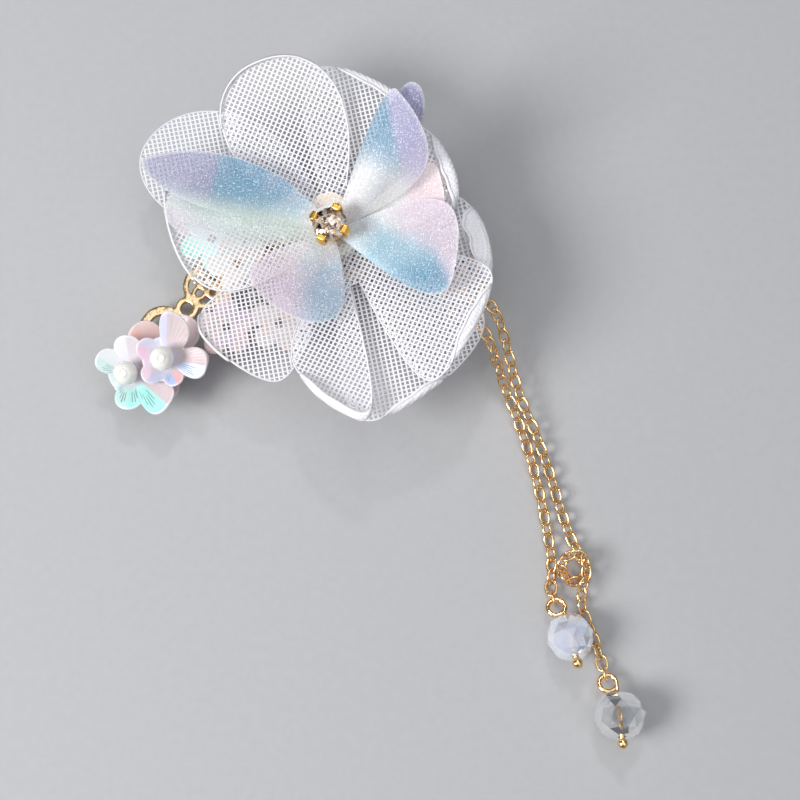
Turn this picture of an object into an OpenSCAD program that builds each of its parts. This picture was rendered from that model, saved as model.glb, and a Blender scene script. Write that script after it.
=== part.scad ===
// Tassel hair clip: a spring clip carries a pierced gilt plate, a two-layer net flower, a two-layer
// organza butterfly with a claw-set stone, cupped sequin flowers and two fine chains with glass drops.
// It lies on its flat underside. +X and +Y run along the surface, +Z is up.
// The origin is on the surface, under the flower's axis. Millimetres and degrees.

/* [Seat] */
// Height of the plate's underside above the surface, at the flower's axis
seat_h = 4.4; // [4.2:0.1:5]
// Slope of the plate, down towards the tip of the clip
seat_tilt = 6; // [4:0.5:7]
// Clearance between pieces that rest on each other
rest_gap = 0.3; // [0.2:0.05:0.4]

/* [Spring clip] */
// Length of the clip
clip_len = 37; // [34:1:40]
// Width of the clip
clip_w = 6; // [5:0.5:7]
// Thickness of its sheet
clip_t = 0.8; // [0.6:0.1:1]

/* [Pierced plate] */
// Thickness of the cast plate
plate_t = 0.8; // [0.6:0.1:1]
// Outer radius of a main ring
ring_r = 3.2; // [3:0.1:3.4]
// Width of a ring's band
band_w = 0.8; // [0.6:0.1:1]
// Radius of the raised centre cap
cap_r = 5.6; // [4.5:0.1:6]
// Height of the cap's top above the plate's underside
cap_h = 2.3; // [1.8:0.1:2.4]

/* [Flower and butterfly] */
// Thickness of a cloth wall
cloth_t = 1; // [1:0.1:1.2]
// Radius of the hole at the centre of each cloth layer
eyelet_r = 1; // [1:0.1:1.4]
// How far the lower net layer rises at a radius of rise_at
lower_rise = 2; // [1.6:0.1:2.4]
// How far the upper net layer rises at a radius of rise_at
upper_rise = 3.4; // [3.2:0.1:4]
// Height of the waves round each net layer
ruffle_h = 0.45; // [0:0.05:0.5]

/* [Stone] */
// Radius of the stone's girdle
stone_r = 2.2; // [2:0.1:2.4]
// Number of claws
claw_count = 4; // [4:1:6]

/* [Sequin flowers] */
// Thickness of a sequin
sequin_t = 0.4; // [0.3:0.05:0.5]
// Radius of a white bead
pearl_r = 1.55; // [1.4:0.05:1.6]

/* [Chains] */
// Outer length of a link
link_len = 2.4; // [2.3:0.05:2.5]
// Outer width of a link
link_w = 1.75; // [1.6:0.05:1.8]
// Diameter of a link's wire
link_wire = 0.3; // [0.28:0.01:0.32]
// Distance from link to link
link_pitch = 1.56; // [1.52:0.01:1.58]

/* [Glass drops] */
// Radius of the milky bead
milky_r = 3.05; // [2.8:0.05:3.2]
// Radius of the clear bead
clear_r = 3.3; // [3:0.05:3.4]
// Radius of a head pin's wire
pin_r = 0.31; // [0.28:0.01:0.33]

/* [Hidden] */
$fn = 48;

// Stack of layers above the plate, measured square to it
rise_at = 22;
layer_step = cloth_t + rest_gap;
lower_z = cap_h + rest_gap + cloth_t / 2;
upper_z = lower_z + layer_step;
wing_z = upper_z + layer_step;
setting_room = 0.4;
setting_z = wing_z + layer_step + cloth_t / 2 + rest_gap + setting_room;

// Petals, anticlockwise from +X. Columns: middle angle, reach, reach gained towards the
// anticlockwise side, half angle anticlockwise, half angle clockwise, squareness of the
// anticlockwise and of the clockwise side, lip height.
ANGLE = 0;
REACH = 1;
SLANT = 2;
HALF_ACW = 3;
HALF_CW = 4;
SQUARE_ACW = 5;
SQUARE_CW = 6;
LIP = 7;
lower_petals = [
    [153, 28, 0.7, 27, 41, 2, 2, 0],
    [80, 21.8, 3.2, 28, 34, 6, 6, 1.4],
    [0, 19.4, -4.8, 37, 44, 3.5, 3.5, 1.6],
    [-60, 24.3, -1.6, 40, 30, 8, 8, 0.8],
    [-126, 21.2, -0.8, 23, 34, 8, 6, 0]];
upper_petals = [
    [111, 24.6, 1.2, 38, 34, 2.5, 2.5, 0],
    [34, 17.6, 1.2, 40, 42, 3.7, 3.7, 1.4],
    [-40, 22.9, -1.8, 30, 24, 11, 11, 1],
    [-95, 21.6, 6, 21, 18, 10, 10, 0.8],
    [180, 21, -3.7, 36, 32, 5.5, 5.5, 0.3]];
petal_floor = 7;

// Wings, the same columns, where the last is how far a wing's tip stands above the net.
// A side with a squareness under 1.5 is straight.
lower_wings = [
    [172, 21.5, 0, 20, 30, 2, 2, 0.5],
    [104, 5.6, 0, 34, 40, 3, 3, 0],
    [53, 19.3, -0.2, 16, 14, 2.5, 2.5, 8],
    [24, 15.2, 1, 16, 24, 5, 5, 0],
    [-20, 14.5, 0, 22, 20, 5, 5, 0.8],
    [-110, 10.5, 0, 34, 34, 5, 5, 0.3]];
upper_wings = [
    [160, 25.2, 0, 13, 40, 2, 1.2, 1.2],
    [57, 17.3, 2.5, 16, 34, 2, 8, 6.9],
    [-18, 16.8, -1.6, 40, 24, 6, 6, 1.6],
    [-120, 12.6, 0.6, 46, 44, 5, 8, 1]];
wing_floor = 3.5;

// Sequins at the tip, from front to back, with the columns of the petals, in each one's own plane
mint_sequin = [
    [152, 4.7, 0, 36, 44, 2.5, 2.5],
    [92, 4.9, 0, 42, 44, 2.5, 2.5],
    [28, 3.8, 0, 42, 40, 2.2, 2.2],
    [-37, 7, 0, 33, 36, 3.5, 3],
    [-91, 4.7, 0, 46, 46, 2.5, 2.5]];
blue_sequin = [
    [84, 6.1, 0, 20, 60, 2, 2],
    [-10, 5.7, 0, 40, 34, 3, 3],
    [-62, 3.8, 0, 36, 40, 2.5, 2.5],
    [150, 3.9, 0, 44, 44, 2.2, 2.2],
    [-130, 3.8, 0, 42, 46, 2.2, 2.2]];
pink_sequin = [
    [140, 6.2, 0, 42, 44, 2.2, 2.2],
    [63, 6, 0, 44, 44, 2.2, 2.2],
    [-6, 5.3, 0, 38, 40, 2.2, 2.2],
    [-94, 5.6, 0, 32, 34, 3, 2.2],
    [-150, 3.6, 0, 38, 38, 2.2, 2.2]];
sequin_floor = 2.9;

// Where each hangs, in the surface's frame. Columns: x, y, z, direction it leans to, lean.
mint_place = [-27, -17.1, 4.9, 240, 15];
blue_place = [-22.2, -15.8, 7.35, 262, 12];
pink_place = [-22.2, -14.9, 3.4, 0, 0];
tip_cup = 18;
mint_post = 2.2;
blue_post = 4.25;

// Sequins on the plate, in its frame. Columns: x, y, z, angle of a petal, radius.
plate_sequins = [
    [-14.8, -10.8, 1.25, 20, 4],
    [-17, 1.4, 1.25, 60, 4.4],
    [10.6, 8, 1.25, 100, 4.8],
    [-13.2, -2.4, 2.1, 40, 4.2],
    [-7.6, -10.6, 2.1, 10, 4]];
plate_cup = 4;
plate_petals = 5;
petal_notch = 0.5;
petal_round = 0.55;
sequin_eye = 0.6;
sequin_flat = 1.6;

// Crystal beads on the plate, in its frame. Columns: x, y, z.
crystals = [
    [-11.3, -7, 1.75],
    [-7.2, -5.4, 1.75]];
crystal_r = 0.85;
crystal_bore = 0.3;
crystal_turn = 40;

// Chain routes over the surface. Columns: x, y, z, how much closer the links lie than the pitch.
eyelet_right = [18, -6.6];
eyelet_left = [17.4, -10.1];
chain_eye_r = 1.3;
chain_eye_hole = 0.9;
chain_eye_t = 0.4;
CROWDING = 3;
flat_z = 0.85;
right_above_loop = [
    [20.6, -10.2, 6.1, 1.1], [21.2, -11.8, 5.1, 1.05], [21.9, -14, 3.9, 1], [22.7, -17.2, 2.9, 1],
    [23.6, -20.1, 2.4, 1], [24.6, -22.4, 2, 1], [25.4, -24.2, 1.7, 1], [26.2, -26.3, 1.2, 1],
    [27.1, -29, flat_z, 1], [28.6, -34.4, flat_z, 1], [29.9, -38.2, flat_z, 1.1],
    [30.7, -39.6, flat_z, 1.2]];
right_below_loop = [
    [31.5, -42.5, 2.7, 1.1], [31.2, -44, 2.4, 1.1], [30.9, -45.6, 1.4, 1], [31.1, -47.2, flat_z, 1],
    [32.2, -49.9, flat_z, 1]];
left_route = [
    [19.7, -13.9, 5.9, 1.1], [20.3, -15.3, 4.5, 1.05], [21, -17, 2.9, 1], [21.7, -18.7, 1.6, 1],
    [22.5, -20.5, 1, 1], [24.1, -25.1, flat_z, 1], [25.2, -28.9, flat_z, 1], [26, -32.6, flat_z, 1],
    [26.7, -36.6, flat_z, 1], [27.3, -40.6, flat_z, 1]];

// Loose loop of the right chain: it turns clockwise and climbs over itself
loop_middle = [30.05, -41.9];
loop_radius = 1.65;
loop_lift = 1.93;
loop_steps = 9;
loop_turn = 40;
loop_from = 40;
climb_from = 3;
climb_steps = 3.5;
loop_crowding = 1.24;
coil = [for (i = [0 : loop_steps])
    let (a = loop_from - loop_turn * i, t = max(0, min(1, (i - climb_from) / climb_steps)))
    [loop_middle[0] + loop_radius * cos(a), loop_middle[1] + loop_radius * sin(a),
     flat_z + loop_lift * t * t * (3 - 2 * t), loop_crowding]];
right_route = concat(right_above_loop, coil, right_below_loop);

// Glass drops. Columns: x, y, z of the bead's middle, direction of its loop, how far aside the loop is.
milky_place = [29.2, -50.7, milky_r + 0.02, 102, 0.7];
clear_place = [35.1, -60.4, clear_r + 0.02, 92, 1.05];
drop_dip = 20;
bead_half = 2.75;
bead_bore = 0.5;
loop_at = 4.3;
loop_r = 1.1;
ball_r = 0.7;
ball_gap = 0.15;
shank_r = pin_r + 0.04;

// Unit vector
function unit(v) = v / norm(v);

// Angle between -180 and 180
function wrap(a) = a - 360 * floor((a + 180) / 360);

// Place across a petal: 0 in its middle, 1 at its anticlockwise side, -1 at its clockwise side
function across(row, a) =
    let (d = wrap(a - row[ANGLE]))
    d >= 0 ? d / row[HALF_ACW] : d / row[HALF_CW];

// Reach of one petal in direction a
function petal_reach(row, a) =
    let (x = across(row, a), square = x < 0 ? row[SQUARE_CW] : row[SQUARE_ACW],
         fall = max(0, 1 - pow(abs(x), square)))
    abs(x) >= 1 ? 0 : (row[REACH] + row[SLANT] * x) * (square < 1.5 ? fall : sqrt(fall));

// Reach of a whole layer in direction a
function layer_reach(table, inner, a) = max([inner, for (row = table) petal_reach(row, a)]);

// Value of a column in direction a, full in a petal's middle and nothing at its sides
function layer_value(table, a, column) =
    max([0, for (row = table)
        petal_reach(row, a) >= layer_reach(table, 1, a) ? row[column] * (1 - pow(across(row, a), 4)) : 0]);

// Cloth rises more steeply towards its rim and waves once a petal
swell_power = 1.7;
ruffle_count = 5;
function swell(r) = pow(r / rise_at, swell_power);
function ruffle(a, phase) = ruffle_h * cos(ruffle_count * (a - phase));
function lower_height(a, r) =
    lower_z + lower_rise * swell(r) + ruffle(a, lower_petals[0][ANGLE]) * pow(r / rise_at, 2);
function upper_height(a, r) =
    upper_z + upper_rise * swell(r) + ruffle(a, upper_petals[0][ANGLE]) * pow(r / rise_at, 2);
function wing_lift(table, a, r) =
    max([0, for (row = table) petal_reach(row, a) >= layer_reach(table, 1, a)
        ? row[LIP] * (1 - pow(across(row, a), 2)) * pow(r / row[REACH], 2) : 0]);
function wing_height(a, r, level, table) =
    upper_height(a, r) + (level + 1) * layer_step + wing_lift(table, a, r);

// A rim can only curl up where nothing lies on it
bare_from = 0.8;
bare_over = 1.2;
function bare(a) =
    max(0, min(1, (layer_reach(lower_petals, petal_floor, a)
                   - layer_reach(upper_petals, petal_floor, a) - bare_from) / bare_over));

// Middle line of the cloth in direction a, from the eyelet to the rim, as [radius, height].
// Inner stations are shares of the reach. Rim stations have two columns: distance from the rim and
// share of the lip's height. The lip runs out where the rim comes close to the wings.
inner_stations = [0.35, 0.65];
rim_stations = [[1.6, 0], [0.7, 0.35], [0.3, 1]];
lip_from = 14;
lip_full = 18;
function petal_section(a, r, full_lip, height) =
    let (lip = full_lip * max(0, min(1, (r - lip_from) / (lip_full - lip_from))))
    concat([[eyelet_r, height(a, eyelet_r)]],
           [for (share = inner_stations) [share * r, height(a, share * r)]],
           [for (s = rim_stations) [r - s[0], height(a, r - s[0]) + s[1] * lip]]);

function lower_section(a) =
    petal_section(a, layer_reach(lower_petals, petal_floor, a),
        layer_value(lower_petals, a, LIP) * bare(a), function (b, r) lower_height(b, r));
function upper_section(a) =
    petal_section(a, layer_reach(upper_petals, petal_floor, a),
        layer_value(upper_petals, a, LIP), function (b, r) upper_height(b, r));

wing_stations = [0, 0.3, 0.55, 0.8, 1];
function wing_section(a, level, table) =
    let (reach = layer_reach(table, wing_floor, a))
    [for (f = wing_stations)
        let (r = eyelet_r + f * (reach - eyelet_r))
        [r, wing_height(a, r, level, table)]];

// A sequin is flat in the middle and cupped outside
function sequin_section(r, cup) = [[sequin_eye, 0], [sequin_flat, 0], [r, (r - sequin_flat) * tan(cup)]];
function round_petals(radius, a) =
    radius * (petal_notch + (1 - petal_notch) * pow(abs(cos(plate_petals / 2 * a)), petal_round));

// Square to the middle line at point k, on the upper side
function side_of(line, k) =
    let (t = unit(line[min(k + 1, len(line) - 1)] - line[max(k - 1, 0)]))
    [-t[1], t[0]];

// The outline of a wall of the given thickness round the middle line
function wall_outline(line, thick) = concat(
    [for (k = [0 : len(line) - 1]) line[k] + thick / 2 * side_of(line, k)],
    [for (k = [len(line) - 1 : -1 : 0]) line[k] - thick / 2 * side_of(line, k)]);

// A wall that runs round the Z axis, whose section changes with the angle
module round_wall(count, thick, section) {
    outlines = [for (i = [0 : count - 1]) wall_outline(section(i * 360 / count), thick)];
    n = len(outlines[0]);
    points = [for (i = [0 : count - 1]) for (p = outlines[i])
        [p[0] * cos(i * 360 / count), p[0] * sin(i * 360 / count), p[1]]];
    faces = [for (i = [0 : count - 1]) for (j = [0 : n - 1])
        let (i2 = (i + 1) % count, j2 = (j + 1) % n)
        for (face = [[i * n + j, i2 * n + j2, i2 * n + j], [i * n + j, i * n + j2, i2 * n + j2]])
            face];
    polyhedron(points, faces);
}

// Moves what lies on the plate into the surface's frame
module on_plate() {
    translate([0, 0, seat_h]) rotate([0, -seat_tilt, 0]) children();
}

// Spring clip, drawn from the side and cut to a bar with round ends
clip_nose = -clip_len / 2;
hinge_x = 12;
hinge_z = 2.6;
hinge_r = 2.2;
clip_top = 20;
module clip() {
    top = function (x) seat_h - rest_gap + x * tan(seat_tilt);
    color("silver")
    intersection() {
        rotate([90, 0, 0]) linear_extrude(clip_w, center = true) {
            translate([clip_nose, 0]) square([clip_len, clip_t]);
            polygon([[clip_nose, top(clip_nose) - clip_t], [-clip_nose, top(-clip_nose) - clip_t],
                     [-clip_nose, top(-clip_nose)], [clip_nose, top(clip_nose)]]);
            translate([hinge_x, hinge_z]) circle(hinge_r);
        }
        linear_extrude(clip_top) {
            square([clip_len - clip_w, clip_w], center = true);
            for (x = [-1, 1]) translate([x * (clip_len - clip_w) / 2, 0]) circle(clip_w / 2);
        }
    }
}

module ring(at, outer, inner) {
    translate(at) difference() {
        circle(outer);
        circle(inner);
    }
}

// Pierced plate: a shallow arc of rosettes, a branch, a tip ring with an arm, and two chain eyelets
arc_r = 32;
arc_x = -0.8;
ring_gap = 5.1;
arc_end = 3.5;
branch = [[7.6, 4.2], [12.4, 7.6]];
tip_ring = [-23.5, -10.6];
tip_band = 1.3;
arm_feet = [[-26.9, -16.4], [-22.4, -14.6]];
foot_r = 1.1;
arm_w = 1.8;
side_ring = [15.6, -8.4];
side_ring_r = 1.9;
joining_ring = [-20.3, -7.9];
joining_r = 1.6;
joining_hole = 0.8;
small_r = 1.3;
small_hole = 0.7;
bud_at = 1.35;
bud_r = 1;
bud_hole = 0.5;
stalk_w = 0.5;
function on_arc(s) =
    [arc_x + arc_r * sin(s / arc_r * 180 / PI), arc_r * cos(s / arc_r * 180 / PI) - arc_r];
module rosette(at) {
    ring(at, ring_r, ring_r - band_w);
    translate(at) for (k = [0 : 3]) rotate(45 + 90 * k) {
        ring([bud_at, 0], bud_r, bud_hole);
        translate([bud_at + bud_hole, -stalk_w / 2]) square([ring_r - band_w - bud_at, stalk_w]);
    }
}

// Straight bar with a wider round pad at each end
module bar(from, to, w, pad_r) {
    way = to - from;
    translate(from) rotate(atan2(way[1], way[0])) translate([0, -w / 2]) square([norm(way), w]);
    for (at = [from, to]) translate(at) circle(pad_r);
}

module plate_outline() {
    for (k = [-arc_end : arc_end]) rosette(on_arc(k * ring_gap));
    for (k = [0.5 - arc_end : arc_end - 0.5]) for (side = [-1, 1])
        ring(on_arc(k * ring_gap) + [0, side * 2 * small_r], small_r, small_hole);
    for (at = branch) rosette(at);
    ring(tip_ring, ring_r, ring_r - tip_band);
    ring(joining_ring, joining_r, joining_hole);
    bar(tip_ring + [0, tip_band / 2 - ring_r], arm_feet[0], arm_w, foot_r);
    translate(arm_feet[1]) circle(foot_r);
    ring(side_ring, side_ring_r, side_ring_r - band_w);
}

eyelets = [eyelet_right, eyelet_left];
cap_holes = 8;
cap_hole_r = 0.9;
cap_hole_at = 3.5;
cut_past = 1;
module filigree_plate() {
    color("goldenrod")
    on_plate() {
        difference() {
            union() {
                linear_extrude(plate_t) plate_outline();
                cylinder(h = cap_h, r = cap_r);
                for (at = eyelets) translate(at) cylinder(h = chain_eye_t, r = chain_eye_r);
            }
            translate([0, 0, -cut_past]) {
                cylinder(h = cap_h + 2 * cut_past, r = eyelet_r);
                for (k = [1 : cap_holes]) rotate(360 / cap_holes * k)
                    translate([cap_hole_at, 0]) cylinder(h = cap_h + 2 * cut_past, r = cap_hole_r);
                for (at = eyelets) translate(at) cylinder(h = cap_h + 2 * cut_past, r = chain_eye_hole);
            }
        }
    }
}

petal_steps = 80;
wing_steps = 60;
tip_steps = 30;
sequin_steps = 20;
module flower_lower() {
    color("whitesmoke") on_plate() round_wall(petal_steps, cloth_t, function (a) lower_section(a));
}

module flower_upper() {
    color("white") on_plate() round_wall(petal_steps, cloth_t, function (a) upper_section(a));
}

module butterfly_lower() {
    color("lavender") on_plate()
        round_wall(wing_steps, cloth_t, function (a) wing_section(a, 0, lower_wings));
}

module butterfly_upper() {
    color("lightblue") on_plate()
        round_wall(wing_steps, cloth_t, function (a) wing_section(a, 1, upper_wings));
}

// Claw setting with its post, which pins the layers to the plate. The cup is narrower than the
// stone, so from above only the claws' round tips show.
cup_h = 1;
cup_floor = 0.3;
cup_inset = 0.4;
cup_wall = 0.35;
cup_r = stone_r - cup_inset;
cup_bore = cup_r - cup_wall;
post_sink = 0.2;
girdle_z = setting_z + 1.6;
girdle_t = 0.12;

// Section of a claw, from the cup up over the girdle. Columns: distance out from the stone's
// clearance, height above the girdle.
claw_w = 1.1;
claw_round = 0.62;
claw_turn = 64;
stone_clear = 0.15;
claw_section = [
    [-0.75, -1.25], [0.1, -1.25], [0.45, -0.6], [0.45, 0.35], [0.1, 0.85], [-0.45, 0.9],
    [-0.65, 0.75], [-0.65, 0.48], [0, 0.2], [0, -0.45], [-0.75, -0.7]];
module stone_setting() {
    color("gold")
    on_plate() {
        difference() {
            translate([0, 0, setting_z]) cylinder(h = cup_h, r = cup_r);
            translate([0, 0, setting_z + cup_floor]) cylinder(h = cup_h, r = cup_bore);
        }
        translate([0, 0, plate_t])
            cylinder(h = setting_z + post_sink - plate_t, r = eyelet_r - rest_gap);
        for (k = [0 : claw_count - 1]) rotate(claw_turn + k * 360 / claw_count) intersection() {
            rotate([90, 0, 0]) linear_extrude(claw_w, center = true)
                polygon([for (p = claw_section) [stone_r + stone_clear + p[0], girdle_z + p[1]]]);
            translate([stone_r, 0, setting_z]) cylinder(h = girdle_z, r = claw_round);
        }
    }
}

// Round cut stone: eight-sided table, crown, girdle and pavilion. Columns: radius, height, sides.
table_r = 1.2;
crown_h = 0.6;
culet_r = 0.1;
culet_z = setting_z + 0.45;
stone_sides = 16;
slice_t = 0.02;
stone_rings = [
    [table_r, girdle_z + crown_h, stone_sides / 2],
    [stone_r, girdle_z + girdle_t / 2, stone_sides],
    [stone_r, girdle_z - girdle_t / 2, stone_sides],
    [culet_r, culet_z, stone_sides / 2]];
module rhinestone() {
    color("snow")
    on_plate() hull() {
        for (row = stone_rings) translate([0, 0, row[1]]) rotate(180 / row[2])
            linear_extrude(slice_t) circle(row[0], $fn = row[2]);
    }
}

// Turns a piece so that its axis leans towards a direction
module leaning(direction, lean) {
    rotate([0, 0, direction]) rotate([0, lean, 0]) rotate([0, 0, -direction]) children();
}

// A piece that hangs at the tip, in its own plane
module at_tip(place) {
    translate([place[0], place[1], place[2]]) leaning(place[3], place[4]) children();
}

module tip_sequin(place, petals) {
    color("thistle") at_tip(place) round_wall(tip_steps, sequin_t, function (a)
        sequin_section(layer_reach(petals, sequin_floor, a), tip_cup));
}

module plate_sequin(row) {
    color("lavenderblush") on_plate() translate([row[0], row[1], row[2]]) rotate(row[3])
        round_wall(sequin_steps, sequin_t, function (a) sequin_section(round_petals(row[4], a), plate_cup));
}

// White round bead over the middle of a sequin flower, and the post that holds both to the leaf
pearl_bore = 0.4;
post_r = 0.2;
pearl_at = sequin_t / 2 + rest_gap + pearl_r;
post_top = pearl_at + 0.8 * pearl_r;
module pearl(place) {
    color("ivory") at_tip(place) translate([0, 0, pearl_at]) difference() {
        sphere(pearl_r);
        cylinder(h = 4 * pearl_r, r = pearl_bore, center = true);
    }
}

module sequin_post(place, drop) {
    color("gold") at_tip(place) translate([0, 0, -drop])
        cylinder(h = drop + post_top, r = post_r);
}

// Cut bead round the Z axis. Rows of corners are turned by half a step, so its sides are diamonds.
module cut_bead(sides, rows, bore) {
    outline = concat([[bore, rows[0][1], 0]], rows, [[bore, rows[len(rows) - 1][1], 0]]);
    n = len(outline);
    turn = 180 / sides;
    points = [for (i = [0 : sides - 1]) for (row = outline)
        [row[0] * cos(turn * (2 * i + row[2])), row[0] * sin(turn * (2 * i + row[2])), row[1]]];
    faces = [for (i = [0 : sides - 1]) for (j = [0 : n - 1])
        let (i2 = (i + 1) % sides, j2 = (j + 1) % n,
             a = i * n + j, b = i2 * n + j, c = i2 * n + j2, d = i * n + j2,
             late = outline[j2][2] > outline[j][2])
        for (face = late ? [[a, b, d], [b, c, d]] : [[a, b, c], [a, c, d]]) face];
    polyhedron(points, faces);
}

// Rows of a round cut bead. Columns: share of the radius, share of half its length, half steps turned.
bead_sides = 10;
bead_shape = [[0.42, -1, 0], [0.84, -0.55, 1], [1, 0, 0], [0.84, 0.55, 1], [0.42, 1, 0]];
function bead_rows(radius, half) = [for (row = bead_shape) [row[0] * radius, row[1] * half, row[2]]];

module crystal_bead(k) {
    color("aliceblue") on_plate() translate(crystals[k]) rotate([90, 0, crystal_turn * k])
        cut_bead(bead_sides, bead_rows(crystal_r, crystal_r), crystal_bore);
}

// Puts a drop's parts on its own axis: +Z points to its loop
module on_drop(place) {
    translate([place[0], place[1], place[2]]) rotate([0, 90 + drop_dip, place[3]]) children();
}

module head_pin(place) {
    reach = sqrt(loop_r * loop_r - place[4] * place[4]);
    ball_at = bead_half + ball_gap + ball_r;
    color("goldenrod") on_drop(place) {
        translate([0, place[4], loop_at]) rotate([0, 90, 0])
            rotate_extrude() translate([loop_r, 0]) circle(pin_r);
        translate([0, 0, -ball_at]) cylinder(h = ball_at + loop_at - reach, r = shank_r);
        translate([0, 0, -ball_at]) sphere(ball_r);
    }
}

module milky_bead() {
    color("lightsteelblue") on_drop(milky_place)
        cut_bead(bead_sides, bead_rows(milky_r, bead_half), bead_bore);
}

module clear_bead() {
    color("white") on_drop(clear_place)
        cut_bead(bead_sides, bead_rows(clear_r, bead_half), bead_bore);
}

// Length along a route up to each of its points, and the place at a length
function spot(p, i) = [p[i][0], p[i][1], p[i][2]];
function stretch(p, i) =
    i < len(p) - 1 ? norm(spot(p, i + 1) - spot(p, i)) * (p[i][CROWDING] + p[i + 1][CROWDING]) / 2 : 0;
function lengths(p) = [for (i = 0, s = 0; i < len(p); s = s + stretch(p, i), i = i + 1) s];
function place_at(p, c, s) =
    let (i = max([0, for (k = [0 : len(c) - 2]) if (c[k] <= s) k]), t = (s - c[i]) / (c[i + 1] - c[i]))
    spot(p, i) + t * (spot(p, i + 1) - spot(p, i));

// One oval link in the plane of its long direction and its side direction
link_corners = 10;
wire_sides = 5;
module link(at, along, side) {
    half_long = (link_len - link_wire) / 2;
    half_wide = (link_w - link_wire) / 2;
    face_way = cross(along, side);
    points = [for (i = [0 : link_corners - 1]) for (j = [0 : wire_sides - 1])
        let (a = i * 360 / link_corners, q = j * 360 / wire_sides,
             out = unit(cos(a) / half_long * along + sin(a) / half_wide * side))
        at + half_long * cos(a) * along + half_wide * sin(a) * side
        + link_wire / 2 * (cos(q) * out + sin(q) * face_way)];
    faces = [for (i = [0 : link_corners - 1]) for (j = [0 : wire_sides - 1])
        let (i2 = (i + 1) % link_corners, j2 = (j + 1) % wire_sides)
        for (face = [[i * wire_sides + j, i2 * wire_sides + j2, i2 * wire_sides + j],
                     [i * wire_sides + j, i * wire_sides + j2, i2 * wire_sides + j2]]) face];
    polyhedron(points, faces);
}

// A chain along a route. Each link is turned a quarter from the last, and the chain twists near its
// ends, so that the end links stand up in what they hang in.
end_twist = [33, 24, 8];
function twist_at(i) = i < len(end_twist) ? end_twist[i] : 0;
module chain(route) {
    c = lengths(route);
    total = c[len(c) - 1];
    count = round(total / link_pitch);
    step = total / count;
    for (k = [0 : count]) {
        at = place_at(route, c, k * step);
        along = unit(place_at(route, c, (k + 0.5) * step) - place_at(route, c, (k - 0.5) * step));
        level = unit(cross([0, 0, 1], along));
        up = cross(along, level);
        turn = (k % 2 == 0 ? 45 : -45) + twist_at(k) + (count % 2 == 0 ? 1 : -1) * twist_at(count - k);
        link(at, along, cos(turn) * level + sin(turn) * up);
    }
}

// The first link hangs in an eyelet of the plate, the last one in a drop's loop. Each lies in the
// plane of what it hangs in, so the route has two points there.
function plate_point(p) = [
    p[0] * cos(seat_tilt) - p[2] * sin(seat_tilt), p[1],
    seat_h + p[0] * sin(seat_tilt) + p[2] * cos(seat_tilt)];
function from_eyelet(at, way) = [for (far = [eyelet_away, eyelet_away + link_pitch])
    concat(plate_point([at[0] + far * cos(way), at[1] + far * sin(way), chain_eye_t / 2]), [end_crowding])];
function to_loop(place, way) =
    let (axis = [cos(place[3]) * cos(drop_dip), sin(place[3]) * cos(drop_dip), -sin(drop_dip)],
         side = [-sin(place[3]), cos(place[3]), 0],
         middle = [place[0], place[1], place[2]] + loop_at * axis + place[4] * side)
    [for (far = [loop_away + link_pitch, loop_away])
        concat(middle + far * (cos(way) * axis + sin(way) * side), [end_crowding])];
eyelet_away = 1.3;
end_crowding = 1.12;
loop_away = loop_r + 0.3;
leave_right = -50;
leave_left = -55;
into_clear = 10;
into_milky = 0;

module chain_right() {
    color("goldenrod") chain(concat(
        from_eyelet(eyelet_right, leave_right), right_route, to_loop(clear_place, into_clear)));
}

module chain_left() {
    color("goldenrod") chain(concat(
        from_eyelet(eyelet_left, leave_left), left_route, to_loop(milky_place, into_milky)));
}

clip();
filigree_plate();
flower_lower();
flower_upper();
butterfly_lower();
butterfly_upper();
stone_setting();
rhinestone();
tip_sequin(mint_place, mint_sequin);  // sequin_flower_1
tip_sequin(blue_place, blue_sequin);  // sequin_flower_2
tip_sequin(pink_place, pink_sequin);  // sequin_flower_3
plate_sequin(plate_sequins[0]);  // sequin_flower_4
plate_sequin(plate_sequins[1]);  // sequin_flower_5
plate_sequin(plate_sequins[2]);  // sequin_flower_6
plate_sequin(plate_sequins[3]);  // sequin_flower_7
plate_sequin(plate_sequins[4]);  // sequin_flower_8
pearl(mint_place);  // pearl_bead_1
pearl(blue_place);  // pearl_bead_2
sequin_post(mint_place, mint_post);  // sequin_post_1
sequin_post(blue_place, blue_post);  // sequin_post_2
crystal_bead(0);  // crystal_bead_1
crystal_bead(1);  // crystal_bead_2
chain_right();
chain_left();
head_pin(milky_place);  // head_pin_milky
head_pin(clear_place);  // head_pin_clear
milky_bead();
clear_bead();
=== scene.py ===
# %% [markdown]
# # A tassel hair clip, step by step
# The ornament is 46 mm of net flower on a spring clip, with two organza butterflies, a claw-set
# stone, cupped sequins and two fine chains that end in cut glass. The hard parts arrive as a fixed
# model; this lesson dresses them: it weaves the net, dyes the organza, lays the chains and lights
# the whole as it lies on a plain table.

# %% Load the fixed model
import math
import bmesh
import bpy
import numpy as np
from mathutils import Matrix, Vector


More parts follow.
